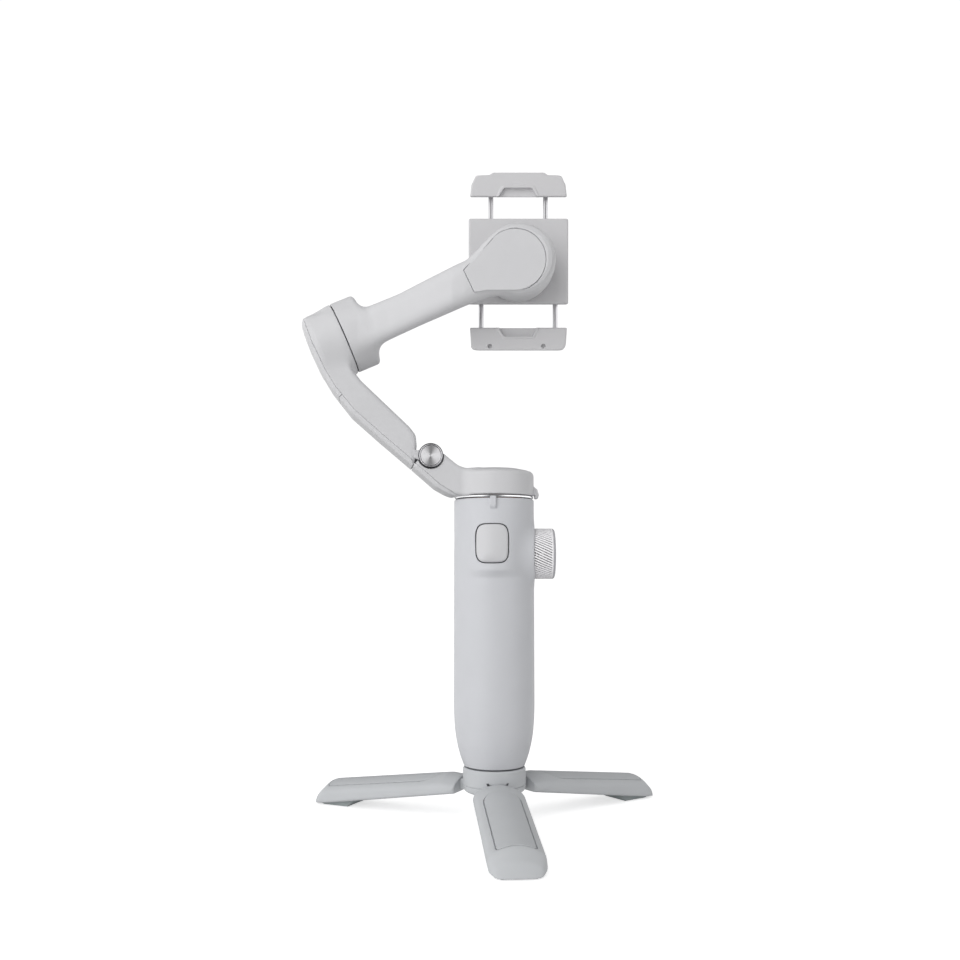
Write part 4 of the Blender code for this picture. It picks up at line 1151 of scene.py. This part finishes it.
KEPT = {
    "board": ["main_board"],
    "brass": ["base_insert", "sync_pinion"],
    "copper": ["yaw_stator", "tilt_stator", "roll_stator"],
    "dark": ["battery_cradle", "upper_slider", "lower_slider"],
    "motor": ["yaw_rotor", "tilt_rotor", "roll_rotor"],
    "rod": ["hinge_pin", "tripod_stud", "leg_pin_1", "leg_pin_2", "leg_pin_3"],
    "wrap": ["battery_cell"],
}


def finish_kept_nodes():
    for finish, nodes in KEPT.items():
        for node in nodes:
            obj = frame["nodes"][node]
            obj.data.materials.clear()
            obj.data.materials.append(FINISH[finish])


# ---- camera, floor and light ----

AMBIENT = (0.42, 0.58)           # what the studio gives dull surfaces, from the right and left
SHEEN = (0.20, 1.40)             # what polished ones reflect, ahead and to the sides
SHEEN_ASIDE = (0.20, 0.55)       # how far aside the first ends and the second starts
KEY_PLACE, KEY_SIZE, KEY_POWER = (-0.80, -1.30, 0.75), 1.7, 15.8
BACKDROP = 1.05                  # how bright the studio's walls look
AIM = Vector((0.0, 0.0, 0.15))   # what the key light points at
CAMERA_PLACE = (-6.7, -492.0, 118.0)
CAMERA_PITCH = 94.75
LENS, SENSOR = 38.6, 36.0
FLOOR_COLOUR, FLOOR_GLOW = (0.90, 0.90, 0.90), 0.62
FLOOR_HALF = 12.0
FLOOR_HEIGHT = -0.0002           # just under the feet


def add_camera():
    camera = bpy.data.cameras.new("camera")
    camera.sensor_width = SENSOR
    camera.lens = LENS
    camera.clip_start = 0.01
    camera.clip_end = 50.0
    obj = new_object("camera", camera)
    obj.location = Vector(HANDLE.world(CAMERA_PLACE)) * MM
    obj.rotation_euler = (math.radians(CAMERA_PITCH), 0.0, 0.0)
    bpy.context.scene.camera = obj


def add_floor():
    mesh = bpy.data.meshes.new("floor")
    corners = [(x * FLOOR_HALF, y * FLOOR_HALF, 0) for x, y in ((-1, -1), (1, -1), (1, 1), (-1, 1))]
    mesh.from_pydata(corners, [], [(0, 1, 2, 3)])
    floor = new_object("floor", mesh)
    floor.location.z = FLOOR_HEIGHT
    floor.visible_glossy = False
    mat, tree, shader = new_material("floor_paper", FLOOR_COLOUR, 0.9)
    mottle(tree, shader, FLOOR_COLOUR, noise(tree, 8.0), 0.003)
    path = tree.nodes.new("ShaderNodeLightPath")
    glow = ranged(tree, path.outputs["Is Camera Ray"], 0.0, 1.0, 0.0, FLOOR_GLOW)
    tree.links.new(glow, shader.inputs["Emission Strength"])
    shader.inputs["Emission Color"].default_value = (1.0, 1.0, 1.0, 1.0)
    mesh.materials.append(mat)


def add_key_light():
    light = bpy.data.lights.new("key", "AREA")
    light.shape = "DISK"
    light.size = KEY_SIZE
    light.energy = KEY_POWER
    obj = new_object("key", light)
    obj.location = KEY_PLACE
    obj.rotation_euler = (AIM - obj.location).to_track_quat("-Z", "Y").to_euler()
    obj.visible_glossy = False


def add_world():
    """White walls: brighter from the left, and to the sides for what polished metal reflects."""
    world = bpy.data.worlds.new("studio")
    world.use_nodes = True
    tree = world.node_tree
    background = tree.nodes["Background"]
    background.inputs["Color"].default_value = (1.0, 1.0, 1.0, 1.0)
    path = tree.nodes.new("ShaderNodeLightPath")
    place = tree.nodes.new("ShaderNodeTexCoord")
    parts = tree.nodes.new("ShaderNodeSeparateXYZ")
    tree.links.new(place.outputs["Generated"], parts.inputs["Vector"])
    aside = tree.nodes.new("ShaderNodeMath")
    aside.operation = "ABSOLUTE"
    tree.links.new(parts.outputs["X"], aside.inputs[0])
    dull = ranged(tree, parts.outputs["X"], 1.0, -1.0, *AMBIENT)
    polished = ranged(tree, aside.outputs[0], *SHEEN_ASIDE, *SHEEN)
    lit = blend(tree, path.outputs["Is Glossy Ray"], dull, polished)
    strength = blend(tree, path.outputs["Is Camera Ray"], lit, BACKDROP)
    tree.links.new(strength, background.inputs["Strength"])
    bpy.context.scene.world = world
    bpy.context.scene.view_settings.view_transform = "Standard"


build_handle()
build_arm()
build_roll_arm()
build_clamp()
build_tripod()
finish_kept_nodes()
add_camera()
add_floor()
add_world()
add_key_light()
